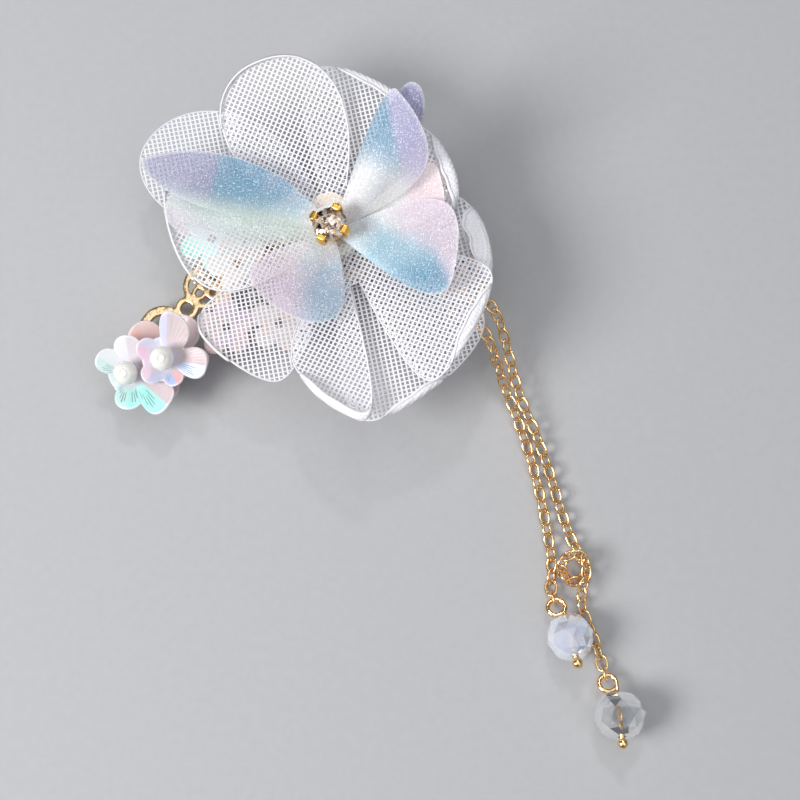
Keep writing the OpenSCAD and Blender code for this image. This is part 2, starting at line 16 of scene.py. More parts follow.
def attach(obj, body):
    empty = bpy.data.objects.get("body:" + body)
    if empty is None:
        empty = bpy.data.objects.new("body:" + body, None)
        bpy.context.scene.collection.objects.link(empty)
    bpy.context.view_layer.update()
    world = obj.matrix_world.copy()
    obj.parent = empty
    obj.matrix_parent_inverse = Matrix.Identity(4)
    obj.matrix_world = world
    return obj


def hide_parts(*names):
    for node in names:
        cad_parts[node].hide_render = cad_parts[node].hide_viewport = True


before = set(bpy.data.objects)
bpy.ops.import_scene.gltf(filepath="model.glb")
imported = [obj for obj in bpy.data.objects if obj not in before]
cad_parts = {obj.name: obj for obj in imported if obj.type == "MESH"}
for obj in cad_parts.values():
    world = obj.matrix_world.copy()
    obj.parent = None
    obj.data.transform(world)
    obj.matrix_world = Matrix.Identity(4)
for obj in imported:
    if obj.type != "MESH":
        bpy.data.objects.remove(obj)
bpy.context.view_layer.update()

# %% [markdown]
# ## Camera first
# The photo looks down from about 78 degrees. A 70 mm lens from 20.5 cm away keeps the gentle
# perspective of a hand-held close-up, without the stretched edges of a wide lens.

# %% Set the camera at the photo's angle
MM = 0.001
AIM = Vector((7.8, -19.6, 0)) * MM
CAMERA_HEIGHT = 78
CAMERA_AWAY = 205 * MM
camera_data = bpy.data.cameras.new("camera")
camera_data.lens = 70
camera_data.sensor_width = 36
camera_data.clip_start = 0.01
camera = bpy.data.objects.new("camera", camera_data)
bpy.context.scene.collection.objects.link(camera)
lift = math.radians(CAMERA_HEIGHT)
camera.location = AIM + CAMERA_AWAY * Vector((0, -math.cos(lift), math.sin(lift)))
camera.rotation_mode = "QUATERNION"
camera.rotation_quaternion = (AIM - camera.location).to_track_quat("-Z", "Y")
bpy.context.scene.camera = camera
print("camera at, mm:", [round(c / MM, 1) for c in camera.location])

# %% [markdown]
# ## Shader maths as arithmetic
# A material in Blender is a net of nodes. Wiring it by hand hides the idea behind it, so a small
# class wraps one socket and lets Python operators add the Math nodes: 1 - mask is a Subtract node.
# Colours and vectors get their own methods, because a Math node would turn a colour grey.


# %% Wrap a socket, so that maths reads as maths
class Wire:
    def __init__(self, finish, socket):
        self.finish = finish
        self.socket = socket

    def maths(self, operation, first, second):
        return self.finish.node("ShaderNodeMath", {"operation": operation}, {0: first, 1: second})

    def __add__(self, other):
        return self.maths("ADD", self, other)

    __radd__ = __add__

    def __sub__(self, other):
        return self.maths("SUBTRACT", self, other)

    def __rsub__(self, other):
        return self.maths("SUBTRACT", other, self)

    def __mul__(self, other):
        return self.maths("MULTIPLY", self, other)

    __rmul__ = __mul__

    def times(self, vector):
        return self.finish.node(
            "ShaderNodeVectorMath", {"operation": "MULTIPLY"}, {0: self, 1: vector})


# %% One material, and the one method that adds any node to it
class Finish:
    def __init__(self, name):
        self.material = bpy.data.materials.new(name)
        self.material.use_nodes = True
        self.tree = self.material.node_tree
        self.tree.nodes.clear()
        self.output = self.tree.nodes.new("ShaderNodeOutputMaterial")

    def node(self, kind, settings=None, inputs=None, output=0):
        made = self.tree.nodes.new(kind)
        for name, value in (settings or {}).items():
            if name == "stops":
                while len(made.color_ramp.elements) < len(value):
                    made.color_ramp.elements.new(0.5)
                for element, (place, colour) in zip(made.color_ramp.elements, value):
                    element.position = place
                    element.color = (*colour, 1)
            else:
                setattr(made, name, value)
        for name, value in (inputs or {}).items():
            if isinstance(value, Wire):
                self.tree.links.new(value.socket, made.inputs[name])
            else:
                made.inputs[name].default_value = value
        return Wire(self, made.outputs[output])

    def place(self):
        return self.node("ShaderNodeTexCoord", output="Object")

    def noise(self, place, scale, detail=3.0):
        return self.node("ShaderNodeTexNoise", None,
                         {"Vector": place, "Scale": scale, "Detail": detail}, "Fac")

    def blend(self, factor, first, second):
        return self.node("ShaderNodeMix", {"data_type": "RGBA"},
                         {0: factor, 6: first, 7: second}, 2)

    def bump(self, height, strength, distance):
        return self.node("ShaderNodeBump", None,
                         {"Height": height, "Strength": strength, "Distance": distance})

    def surface(self, **inputs):
        named = {name.replace("_", " "): value for name, value in inputs.items()}
        shader = self.node("ShaderNodeBsdfPrincipled", None, named)
        self.tree.links.new(shader.socket, self.output.inputs["Surface"])
        return self.material


def tint(red, green, blue):
    """A colour given as 0 to 255 on a screen, as the light values that shaders use."""
    parts = [c / 255 for c in (red, green, blue)]
    return tuple(c / 12.92 if c <= 0.04045 else ((c + 0.055) / 1.055) ** 2.4 for c in parts)


def paint(red, green, blue):
    return (*tint(red, green, blue), 1)


print("white thread is", [round(c, 2) for c in tint(238, 238, 244)])

# %% [markdown]
# ## Table and light
# The ornament lies on a plain table. The light comes from the left and a little from the front,
# broad and soft, so the stone and the flower throw gentle shadows to the right and up, as in the
# photo. A wide pale ceiling gives the gilt something bright to mirror, and a small lamp puts the
# bright points on facets.

# %% Lay the table
HALF_TABLE = 1.5
TABLE_Z = -0.02 * MM
SQUARE = [(-1, -1), (1, -1), (1, 1), (-1, 1)]
table_mesh = bpy.data.meshes.new("table")
table_mesh.from_pydata([(x * HALF_TABLE, y * HALF_TABLE, TABLE_Z) for x, y in SQUARE],
                       [], [(0, 1, 2, 3)])
table = bpy.data.objects.new("table", table_mesh)
bpy.context.scene.collection.objects.link(table)
paper = Finish("pale paper")
fibre = paper.noise(paper.place(), 900)
table_mesh.materials.append(paper.surface(
    Base_Color=paper.blend(fibre, paint(172, 173, 176), paint(180, 181, 184)), Roughness=0.9,
    Normal=paper.bump(fibre, 0.2, 0.0001)))


# %% Hang the lights
def hang_light(name, at, size, power, colour=(1, 1, 1)):
    data = bpy.data.lights.new(name, "AREA")
    data.shape = "DISK"
    data.size = size
    data.energy = power
    data.color = colour
    lamp = bpy.data.objects.new(name, data)
    bpy.context.scene.collection.objects.link(lamp)
    lamp.location = at
    lamp.rotation_mode = "QUATERNION"
    lamp.rotation_quaternion = (AIM - lamp.location).to_track_quat("-Z", "Y")


hang_light("window", Vector((-0.34, -0.16, 0.34)), 0.24, 2.4, (1, 0.985, 0.96))
hang_light("ceiling", Vector((0.04, 0.06, 0.75)), 0.9, 2.2)
hang_light("bounce", Vector((0.36, -0.26, 0.4)), 0.5, 0.4, (0.95, 0.97, 1))
hang_light("sparkle", Vector((0.02, 0.3, 0.42)), 0.05, 0.35)
world = bpy.data.worlds.new("room")
world.use_nodes = True
room = world.node_tree.nodes["Background"].inputs
room["Color"].default_value = (0.9, 0.93, 1, 1)
room["Strength"].default_value = 0.16
bpy.context.scene.world = world
bpy.context.scene.view_settings.view_transform = "Standard"

# %% [markdown]
# ## From numbers to a piece
# Every piece is worked out in millimetres as lists of points and faces. One helper turns them into
# a mesh in metres, gives it its finish, lets it ride with the ornament and hides the plain solid
# that it stands for.


# %% Turn points and faces into a piece
def make_piece(name, points, faces, finish, instead_of, smooth=True):
    mesh = bpy.data.meshes.new(name)
    mesh.from_pydata((np.asarray(points, float) * MM).tolist(), [], [list(f) for f in faces])
    mesh.validate()
    mesh.polygons.foreach_set("use_smooth", [smooth] * len(mesh.polygons))
    mesh.materials.append(finish)
    piece = bpy.data.objects.new(name, mesh)
    bpy.context.scene.collection.objects.link(piece)
    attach(piece, "root")
    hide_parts(*instead_of)
    print(name, len(mesh.polygons), "faces")
    return piece


# %% [markdown]
# ## The seat of the flower
# Everything soft is stacked on a pierced plate that slopes down to the left on the clip. The
# layers are worked out as if the plate were level, and tilted as a last step.

# %% Tilt from the plate's frame to the table's
SEAT_H = 4.4
SEAT_TILT = 6
SEAT = Matrix.Translation((0, 0, SEAT_H)) @ Matrix.Rotation(math.radians(-SEAT_TILT), 4, "Y")


def placed(matrix, points):
    points = np.asarray(points, float)
    turn = np.array(matrix.to_3x3())
    return points @ turn.T + np.array(matrix.translation)


print("the plate falls", round(100 * math.tan(math.radians(SEAT_TILT)), 1), "mm in 100 mm")


# %% Helpers for round things
def polar(r, a):
    """x and y of places given by a radius and an angle in degrees."""
    return r * np.cos(np.radians(a)), r * np.sin(np.radians(a))


def bearing(places):
    return np.degrees(np.arctan2(places[:, 1], places[:, 0])) % 360


def distance(places):
    return np.hypot(places[:, 0], places[:, 1])


def disc_faces(around, rings):
    """Quads between rings of points, the first ring innermost."""
    i = np.arange(around)
    j = (i + 1) % around
    return np.concatenate([np.stack([i + k * around, i + (k + 1) * around,
                                     j + (k + 1) * around, j + k * around], 1)
                           for k in range(rings - 1)])


def lay_dye_and_reflection(piece, colour, cover):
    """Paint every point of a piece: dye on the wings, painted reflections on the sequins, with its
    cover as the fourth channel.
    """
    layer = piece.data.color_attributes.new("dye", "FLOAT_COLOR", "POINT")
    layer.data.foreach_set("color", np.column_stack([colour, cover]).ravel())


# %% [markdown]
# ## One outline for all the petals
# Petals, wings and sequins share one rule: each row of a table is a petal with a middle angle, a
# reach and two half widths, and its rim falls to nothing at the sides as an oval does. A layer
# reaches as far as its longest petal in that direction.

# %% Read a petal's reach from its row
ANGLE, REACH, SLANT, HALF_ACW, HALF_CW, SQUARE_ACW, SQUARE_CW, LIP = range(8)


def across(row, a):
    d = (a - row[ANGLE] + 180) % 360 - 180
    return np.where(d >= 0, d / row[HALF_ACW], d / row[HALF_CW])


def petal_reach(row, a):
    x = across(row, a)
    square = np.where(x < 0, row[SQUARE_CW], row[SQUARE_ACW])
    fall = np.clip(1 - np.abs(x) ** square, 0, None)
    fall = np.where(square < 1.5, fall, np.sqrt(fall))
    return np.where(np.abs(x) >= 1, 0, (row[REACH] + row[SLANT] * x) * fall)


def layer_reach(rows, inner, a):
    return np.maximum(inner, np.max([petal_reach(row, a) for row in rows], axis=0))


def owner(rows, a):
    """Number of the petal that reaches farthest at each angle."""
    return np.stack([petal_reach(row, a) for row in rows]).argmax(0)


# %% The net's petals and the organza's wings
LOWER_PETALS = [
    [153, 28, 0.7, 27, 41, 2, 2, 0],
    [80, 21.8, 3.2, 28, 34, 6, 6, 1.4],
    [0, 19.4, -4.8, 37, 44, 3.5, 3.5, 1.6],
    [-60, 24.3, -1.6, 40, 30, 8, 8, 0.8],
    [-126, 21.2, -0.8, 23, 34, 8, 6, 0]]
UPPER_PETALS = [
    [111, 24.6, 1.2, 38, 34, 2.5, 2.5, 0],
    [34, 17.6, 1.2, 40, 42, 3.7, 3.7, 1.4],
    [-40, 22.9, -1.8, 30, 24, 11, 11, 1],
    [-95, 21.6, 6, 21, 18, 10, 10, 0.8],
    [180, 21, -3.7, 36, 32, 5.5, 5.5, 0.3]]
PETAL_FLOOR = 7
LOWER_WINGS = [
    [172, 21.5, 0, 20, 30, 2, 2, 0.5],
    [104, 5.6, 0, 34, 40, 3, 3, 0],
    [53, 19.3, -0.2, 16, 14, 2.5, 2.5, 8],
    [24, 15.2, 1, 16, 24, 5, 5, 0],
    [-20, 14.5, 0, 22, 20, 5, 5, 0.8],
    [-110, 10.5, 0, 34, 34, 5, 5, 0.3]]
UPPER_WINGS = [
    [160, 25.2, 0, 13, 40, 2, 1.2, 1.2],
    [57, 17.3, 2.5, 16, 34, 2, 8, 6.9],
    [-18, 16.8, -1.6, 40, 24, 6, 6, 1.6],
    [-120, 12.6, 0.6, 46, 44, 5, 8, 1]]
WING_FLOOR = 3.5

# %% How high the cloth stands above the plate
EYELET_R = 1
RISE_AT = 22
LAYER_STEP = 1.3
LOWER_Z = 3.1
UPPER_Z = LOWER_Z + LAYER_STEP
RUFFLE_H = 0.45
DROOP = 0.4


def net_height(a, r, base, rise, phase):
    ripple = RUFFLE_H * np.cos(np.radians(5 * (a - phase)))
    return base + rise * (r / RISE_AT) ** 1.7 + ripple * (r / RISE_AT) ** 2


def lower_height(a, r):
    return net_height(a, r, LOWER_Z, 2, LOWER_PETALS[0][ANGLE])


def upper_height(a, r):
    return net_height(a, r, UPPER_Z, 3.4, UPPER_PETALS[0][ANGLE])


def wing_height(a, r, level, rows):
    top = layer_reach(rows, 1, a)
    own = [petal_reach(row, a) >= top for row in rows]
    lifts = [np.where(mine, row[LIP] * (1 - across(row, a) ** 2) * (r / row[REACH]) ** 2, 0)
             for mine, row in zip(own, rows)]
    droops = [np.where(mine, DROOP * across(row, a) ** 4 * np.clip(r / row[REACH], 0, 1), 0)
              for mine, row in zip(own, rows)]
    level_height = upper_height(a, r) + (level + 1) * LAYER_STEP
    return level_height + np.maximum(0, np.max(lifts, axis=0)) - np.max(droops, axis=0)


print("upper net's rim stands", round(float(upper_height(0.0, 22.0)), 1), "mm above the plate")

# %% [markdown]
# ## Net that is really woven
# Stiff bridal net is a square grid of nylon thread, heat-cut to petals, so its rim melts to a fine
# white line and curls over on itself. A see-through texture would lose the depth between the two
# layers, and the moire where they cross. So each thread is real: a flat square grid is cut to the
# outline, then wrapped onto the shaped petal by its length along the cloth, which is how cloth
# behaves. Where the rim curls in, the same grid doubles over and looks pale, as in the photo.

# %% Where the rims curl over: middle angle, half angle, width of the curl
LOWER_CURLS = [[72, 19, 1.3], [-4, 15, 2.8], [-64, 12, 1.0], [-140, 20, 0.3]]
UPPER_CURLS = [[111, 34, 0.4], [27, 18, 1.6], [-36, 15, 1.5], [-89, 14, 1.2], [180, 30, 0.3]]
ANGLE_STEP = 0.5
ANGLES = np.arange(0, 360, ANGLE_STEP)


def curl_width(curls, a):
    widths = []
    for middle, half, width in curls:
        x = np.abs((a - middle + 180) % 360 - 180) / half
        widths.append(width * np.clip(1 - x ** 3, 0, 1))
    wave = 1 + 0.06 * np.sin(np.radians(17 * a)) + 0.04 * np.sin(np.radians(41 * a + 60))
    return np.max(widths, axis=0) * wave


FLAT_STEPS, BEND_STEPS, BACK_STEPS = 40, 12, 6
LEAST_CURL = 0.25
BACK_SLOPE = 0.12


def petal_section(a, reach, height, curl):
    """Radius and height from the eyelet out to the rim, over the curl and back in."""
    lift = min(0.2 + 0.22 * curl, 0.6) * min(1, curl / 0.3)
    flat_r = np.linspace(EYELET_R, reach - lift, FLAT_STEPS)
    flat = np.stack([flat_r, height(a, flat_r)], 1)
    if curl <= LEAST_CURL:
        return flat
    out, up = flat[-1]
    turn = np.radians(np.linspace(-80, 90, BEND_STEPS))
    bend = np.stack([out + lift * np.cos(turn), up + lift + lift * np.sin(turn)], 1)
    back_r = np.linspace(out, reach - curl, BACK_STEPS)[1:]
    back = np.stack([back_r, bend[-1][1] + BACK_SLOPE * (out - back_r)], 1)
    return np.concatenate([flat, bend, back])


# %% Wrap flat cloth onto the shaped petals
class Wrap:
    """Takes places on the flat cloth to places on the petal, by length along the cloth."""

    def __init__(self, rows, height, curls, steps=72):
        self.shape = np.zeros((len(ANGLES), steps, 2))
        self.length = np.zeros(len(ANGLES))
        self.fold = np.zeros(len(ANGLES))
        self.curled = curl_width(curls, ANGLES)
        reach = layer_reach(rows, PETAL_FLOOR, ANGLES)
        for i, a in enumerate(ANGLES):
            line = petal_section(a, reach[i], height, float(self.curled[i]))
            step = np.hypot(*np.diff(line, axis=0).T)
            run = np.concatenate([[0], np.cumsum(step)])
            self.length[i] = EYELET_R + run[-1]
            self.fold[i] = EYELET_R + run[FLAT_STEPS - 1]
            share = np.linspace(0, run[-1], steps)
            self.shape[i] = np.stack([np.interp(share, run, line[:, k]) for k in (0, 1)], 1)
        self.steps = steps

    def reach(self, a):
        return np.interp(a % 360, np.append(ANGLES, 360), np.append(self.length, self.length[0]))

    def __call__(self, flat):
        a = bearing(flat)
        share = (distance(flat) - EYELET_R) / (self.reach(a) - EYELET_R)
        i = a / ANGLE_STEP
        k = np.clip(share, 0, 1) * (self.steps - 1)
        i0 = i.astype(int) % len(ANGLES)
        i1 = (i0 + 1) % len(ANGLES)
        k0 = np.clip(k.astype(int), 0, self.steps - 2)
        u = (i - np.floor(i))[:, None]
        v = (k - k0)[:, None]
        near = self.shape[i0, k0] * (1 - v) + self.shape[i0, k0 + 1] * v
        far = self.shape[i1, k0] * (1 - v) + self.shape[i1, k0 + 1] * v
        r, z = (near * (1 - u) + far * u).T
        return np.stack([*polar(r, a), z], 1)


# %% Threads with two faces, so that they have a thickness
def two_faced(wrap, flat, thick):
    """The wrapped places, moved up and down by half the thickness."""
    beside = 0.05
    middle = wrap(flat)
    along = wrap(flat + [beside, 0]) - wrap(flat - [beside, 0])
    over = wrap(flat + [0, beside]) - wrap(flat - [0, beside])
    up = np.cross(along, over)
    up /= np.linalg.norm(up, axis=1)[:, None] + 1e-12
    return np.concatenate([middle + up * thick / 2, middle - up * thick / 2])


# %% [markdown]
# The grid has a small flat knot wherever two threads cross. Knots are joined by short lengths of
# thread; where the next knot would lie beyond the rim, the thread is cut off just inside the
# sealed edge, found by halving the step until it fits.

# %% Weave a net
MAIN_PITCH, CROSS_PITCH = 0.6, 0.57
MAIN_THREAD, CROSS_THREAD = 0.22, 0.14
THREAD_T = 0.1
SEALED = 0.12
EYELET_RIM = 0.3
GRID_REACH = 34
SHORTEST_END = 0.03
HALVINGS = 7


def neighbours(table, axis):
    """Every entry but the last, and every entry but the first, along one axis of a grid."""
    here, next_one = ((table[:, :-1], table[:, 1:]), (table[:-1], table[1:]))[axis]
    return here.reshape(-1, *table.shape[2:]), next_one.reshape(-1, *table.shape[2:])


def farthest(fits, start, end):
    """Share of the way from start to end that still fits, found by halving."""
    low, high = np.zeros(len(start)), np.ones(len(start))
    for _ in range(HALVINGS):
        middle = (low + high) / 2
        good = fits(start + (end - start) * middle[:, None])
        low, high = np.where(good, middle, low), np.where(good, high, middle)
    return low


def weave_net(wrap, turn):
    turn = math.radians(turn)
    way = np.array([[math.cos(turn), math.sin(turn)], [-math.sin(turn), math.cos(turn)]])
    count = int(GRID_REACH / CROSS_PITCH)
    pitch = np.array([MAIN_PITCH, CROSS_PITCH])
    half = np.array([MAIN_THREAD, CROSS_THREAD]) / 2
    grid = np.stack(np.meshgrid(np.arange(-count, count), np.arange(-count, count)), -1)
    knots = grid * pitch

    def on_cloth(places):
        flat = places @ way
        s = distance(flat)
        return (s < wrap.reach(bearing(flat)) - SEALED) & (s > EYELET_R + EYELET_RIM)

    inside = on_cloth(knots.reshape(-1, 2)).reshape(knots.shape[:2])
    number = np.where(inside, np.cumsum(inside).reshape(inside.shape) - 1, -1)
    flat = np.stack([knots[inside] + half * corner for corner in SQUARE], 1).reshape(-1, 2)
    tops = [np.arange(len(flat)).reshape(-1, 4)]
    sides = []
    for axis, (near, far) in enumerate([((1, 2), (0, 3)), ((2, 3), (1, 0))]):
        a, b = neighbours(number, axis)
        at_a, at_b = neighbours(knots, axis)
        joined = (a >= 0) & (b >= 0) & on_cloth((at_a + at_b) / 2)
        a0, a1 = (4 * a[joined] + corner for corner in near)
        b0, b1 = (4 * b[joined] + corner for corner in far)
        tops.append(np.stack([a0, b0, b1, a1], 1))
        sides += [np.stack([a0, b0], 1), np.stack([b1, a1], 1)]
        for knot, start, end, (c0, c1), sign in ((a, at_a, at_b, near, 1),
                                                 (b, at_b, at_a, far[::-1], -1)):
            loose = (knot >= 0) & ~joined
            reach = farthest(on_cloth, start[loose], end[loose]) * pitch[axis] - half[axis]
            long = reach > SHORTEST_END
            k0, k1 = 4 * knot[loose] + c0, 4 * knot[loose] + c1
            sides.append(np.stack([k0[~long], k1[~long]], 1))
            k0, k1 = k0[long], k1[long]
            move = np.zeros((len(k0), 2))
            move[:, axis] = sign * reach[long]
            e0 = len(flat) + np.arange(len(k0))
            e1 = e0 + len(k0)
            flat = np.concatenate([flat, flat[k0] + move, flat[k1] + move])
            tops.append(np.stack([k0, e0, e1, k1], 1))
            sides += [np.stack([k0, e0], 1), np.stack([e0, e1], 1), np.stack([e1, k1], 1)]
    points = two_faced(wrap, flat @ way, THREAD_T)
    n = len(flat)
    top = np.concatenate(tops)
    first, last = np.concatenate(sides).T
    walls = np.stack([last, first, first + n, last + n], 1)
    return points, np.concatenate([top, top[:, ::-1] + n, walls])


# %% Seal the rim with a melted edge
def sealed_rim(wrap, width=0.17, curled_width=0.36, thick=0.15, count=1000):
    fine = np.arange(0, 360, 0.05)
    line = np.stack(polar(wrap.reach(fine), fine), 1)
    step = np.hypot(*(np.roll(line, -1, 0) - line).T)
    run = np.concatenate([[0], np.cumsum(step)])
    share = np.arange(count) * run[-1] / count
    closed = np.concatenate([line, line[:1]])
    rim = np.stack([np.interp(share, run, closed[:, k]) for k in (0, 1)], 1)
    way = np.roll(rim, -1, 0) - np.roll(rim, 1, 0)
    inward = np.stack([-way[:, 1], way[:, 0]], 1) / np.linalg.norm(way, axis=1)[:, None]
    curled = np.interp(bearing(rim), ANGLES, np.clip(wrap.curled / 0.4, 0, 1))[:, None]
    inward = inward * (width + (curled_width - width) * curled)
    points = two_faced(wrap, np.concatenate([rim, rim + inward]), thick)
    i = np.arange(count)
    j = (i + 1) % count
    rows = [(0, count), (count, 3 * count), (3 * count, 2 * count), (2 * count, 0)]
    faces = [np.stack([i + p, j + p, j + q, i + q], 1) for p, q in rows]
    return points, np.concatenate(faces), line


# %% [markdown]
# Where a rim has curled over, the heat has also closed the holes of the net. A thin film between
# the threads shows that: it runs from the fold to the wavy edge and leaves the threads proud.


# %% Close the holes of the curled rims
def curl_film(wrap, stations=10):
    curled = np.flatnonzero(wrap.curled > 0.3)
    runs = np.split(curled, np.flatnonzero(np.diff(curled) > 1) + 1)
    if runs[0][0] == 0 and runs[-1][-1] == len(ANGLES) - 1:
        runs[0] = np.concatenate([runs.pop(), runs[0]])
    points, faces = [], []
    first = 0
    for run in runs:
        share = np.linspace(0, 1, stations)[:, None]
        s = wrap.fold[run] + share * (wrap.length[run] - 0.05 - wrap.fold[run])
        flat = np.stack(polar(s, ANGLES[run]), -1).reshape(-1, 2)
        points.append(wrap(flat))
        i, k = np.meshgrid(np.arange(len(run) - 1), np.arange(stations - 1))
        corner = (first + i + k * len(run)).ravel()
        faces.append(np.stack([corner, corner + len(run), corner + len(run) + 1, corner + 1], 1))
        first += len(flat)
    return np.concatenate(points), np.concatenate(faces)


NYLON_GLOW = (0.0004, 0.0004, 0.0004)


def film_finish(name):
    finish = Finish(name)
    place = finish.place()
    cloud = finish.noise(place, 500, 3)
    fine = finish.noise(place, 4000, 2)
    return finish.surface(
        Base_Color=finish.blend(cloud, paint(236, 236, 242), paint(250, 249, 247)),
        Roughness=0.3 + 0.3 * fine, Alpha=0.68 + 0.24 * cloud, Subsurface_Weight=0.2,
        Subsurface_Scale=0.3, Subsurface_Radius=NYLON_GLOW,
        Normal=finish.bump(fine, 0.3, 0.00006))


# %% [markdown]
# Nylon thread is milky and a little shiny. A slow tint keeps the white from being one flat tone:
# cool and lilac in some places, warm in others.


# %% Finish for the net thread
def thread_finish(name, cool, warm):
    finish = Finish(name)
    place = finish.place()
    slow = finish.noise(place, 90, 2)
    fine = finish.noise(place, 9000, 2)
    return finish.surface(
        Base_Color=finish.blend(slow, paint(*cool), paint(*warm)),
        Roughness=0.35 + 0.3 * fine, Specular_IOR_Level=0.6, Subsurface_Weight=0.15,
        Subsurface_Scale=0.3, Subsurface_Radius=NYLON_GLOW,
        Normal=finish.bump(fine, 0.25, 0.00004))


# %% Weave both net layers
def flat_size(line):
    """Width, length and area of a cut shape, in metres and square metres."""
    wide, long = (line.max(0) - line.min(0)) * MM
    x, y = line.T * MM
    area = abs(np.dot(x, np.roll(y, -1)) - np.dot(y, np.roll(x, -1))) / 2
    return (float(wide), float(long)), float(area)


def net_layer(name, wrap, turn, finish, node):
    points, faces = weave_net(wrap, turn)
    net = make_piece(name, placed(SEAT, points), faces, finish, [node], smooth=False)
    points, faces, line = sealed_rim(wrap)
    rim = make_piece(name + "_rim", placed(SEAT, points), faces, finish, [node])
    points, faces = curl_film(wrap)
    film = make_piece(name + "_film", placed(SEAT, points), faces, rim_film, [node])


rim_film = film_finish("heat-closed net")
lower_thread = thread_finish("net thread, lower", (226, 228, 240), (238, 236, 236))
upper_thread = thread_finish("net thread, upper", (232, 232, 246), (244, 242, 240))
net_layer("net_lower", Wrap(LOWER_PETALS, lower_height, LOWER_CURLS), 12, lower_thread,
          "flower_lower")
net_layer("net_upper", Wrap(UPPER_PETALS, upper_height, UPPER_CURLS), -24, upper_thread,
          "flower_upper")

# %% [markdown]
# ## Dyed organza wings
# The two butterflies are cut from organza so fine that its threads can't be seen one by one, and
# printed with soft bands of lavender, blue and mint. The bands are painted on the mesh as vertex
# colours: each row of a table lays a colour on one side of a line, with a soft or a crisp edge. The
# weave itself comes from the material.

# %% Mix the dyes
LAVENDER = tint(138, 138, 180)
DEEP_LAVENDER = tint(122, 120, 176)
SOFT_LAVENDER = tint(172, 170, 210)
LILAC = tint(198, 180, 202)
PALE_LILAC = tint(222, 206, 224)
SKY = tint(70, 140, 178)
PALE_SKY = tint(158, 200, 220)
SLATE = tint(138, 172, 196)
MINT = tint(206, 224, 217)
GLOW = tint(242, 245, 245)
BLUSH = tint(246, 224, 230)
CREAM = tint(252, 236, 208)
ROSE = tint(226, 200, 208)

# Each row: wing, x and y of a point on the line, direction that the colour lies in, softness, dye
UPPER_DYES = [
    [0, 0, 0, 0, 1, MINT],
    [0, -14, 3.6, 75, 1.6, PALE_SKY],
    [0, -7, 3, 120, 2.5, SKY],
    [0, -14.9, 7, 168, 0.35, LAVENDER],
    [0, -14, 3.4, -100, 1.8, MINT],
    [1, 0, 0, 0, 1, PALE_SKY],
    [1, 4, 9, 80, 4, SKY],
    [1, 8.2, 11.6, 10, 0.5, SOFT_LAVENDER],
    [1, 6.8, 7.2, -115, 2, GLOW],
    [2, 0, 0, 0, 1, GLOW],
    [2, 8.5, 0, 30, 2.5, PALE_LILAC],
    [2, 10.5, -2.2, -125, 1.5, PALE_SKY],
    [2, 11, -5.5, -80, 3, SKY],
    [2, 13.8, -5, 25, 1, PALE_LILAC],
    [3, 0, 0, 0, 1, MINT],
    [3, -3, -4, -120, 3, LILAC],
    [3, -3.6, -8, 0, 1.5, SLATE]]
LOWER_DYES = [
    [0, 0, 0, 0, 1, MINT],
    [0, -12, -2, -120, 3, PALE_LILAC],
    [1, 0, 0, 0, 1, CREAM],
    [2, 0, 0, 0, 1, LAVENDER],
    [2, 9, 12, 45, 2, DEEP_LAVENDER],
    [3, 0, 0, 0, 1, GLOW],
    [3, 9.6, 4, 24, 0.8, BLUSH],
    [4, 0, 0, 0, 1, PALE_SKY],
    [4, 9, -5, -60, 3, SKY],
    [5, 0, 0, 0, 1, MINT],
    [5, -2, -5, -100, 3, LILAC]]

# Where a wing is worn thin towards one side: wing, side, radius where it is whole again, loss
UPPER_THIN = [[0, 1, 18, 0.75], [1, -1, 13, 0.5], [3, -1, 30, 0.2]]
LOWER_THIN = [[0, 1, 30, 0.6], [3, 1, 30, 0.3]]


def thinned(rows, thin, a, r):
    """Share of the cloth that is left in each place."""
    wing = owner(rows, a)
    left = np.ones(len(a))
    for which, side, whole_at, loss in thin:
        x = np.clip((side * across(rows[which], a) - 0.1) / 0.8, 0, 1)
        near = np.clip((whole_at - r) / 4, 0, 1)
        left -= np.where(wing == which, loss * x * near, 0)
    return left


MIDDLE_R, MIDDLE_SHARE = 5.5, 0.75
ROSE_R, ROSE_SHARE = 13, 0.4


def dyed(rows, dyes, a, r):
    """Colour of each place, from the rows of its own wing."""
    wing = owner(rows, a)
    x, y = polar(r, a)
    colour = np.tile(GLOW, (len(a), 1))
    for which, at_x, at_y, way, soft, dye in dyes:
        way = math.radians(way)
        side = ((x - at_x) * math.cos(way) + (y - at_y) * math.sin(way)) / soft
        share = 1 / (1 + np.exp(-np.clip(3 * side, -30, 30)))
        if (at_x, at_y) == (0, 0):
            share = np.ones(len(x))
        share = (share * (wing == which))[:, None]
        colour = colour * (1 - share) + np.array(dye) * share
    middle = MIDDLE_SHARE * np.clip(1 - (r / MIDDLE_R) ** 2, 0, 1)[:, None]
    colour = colour * (1 - middle) + np.array(GLOW) * middle
    cloud = 0.5 + 0.5 * np.sin(0.9 * x + 1.1 * np.sin(0.8 * y)) * np.sin(0.75 * y - 0.6 * x + 1)
    cloud = (ROSE_SHARE * cloud ** 2 * np.clip(1 - (r / ROSE_R) ** 2, 0, 1))[:, None]
    return colour * (1 - cloud) + np.array(ROSE) * cloud
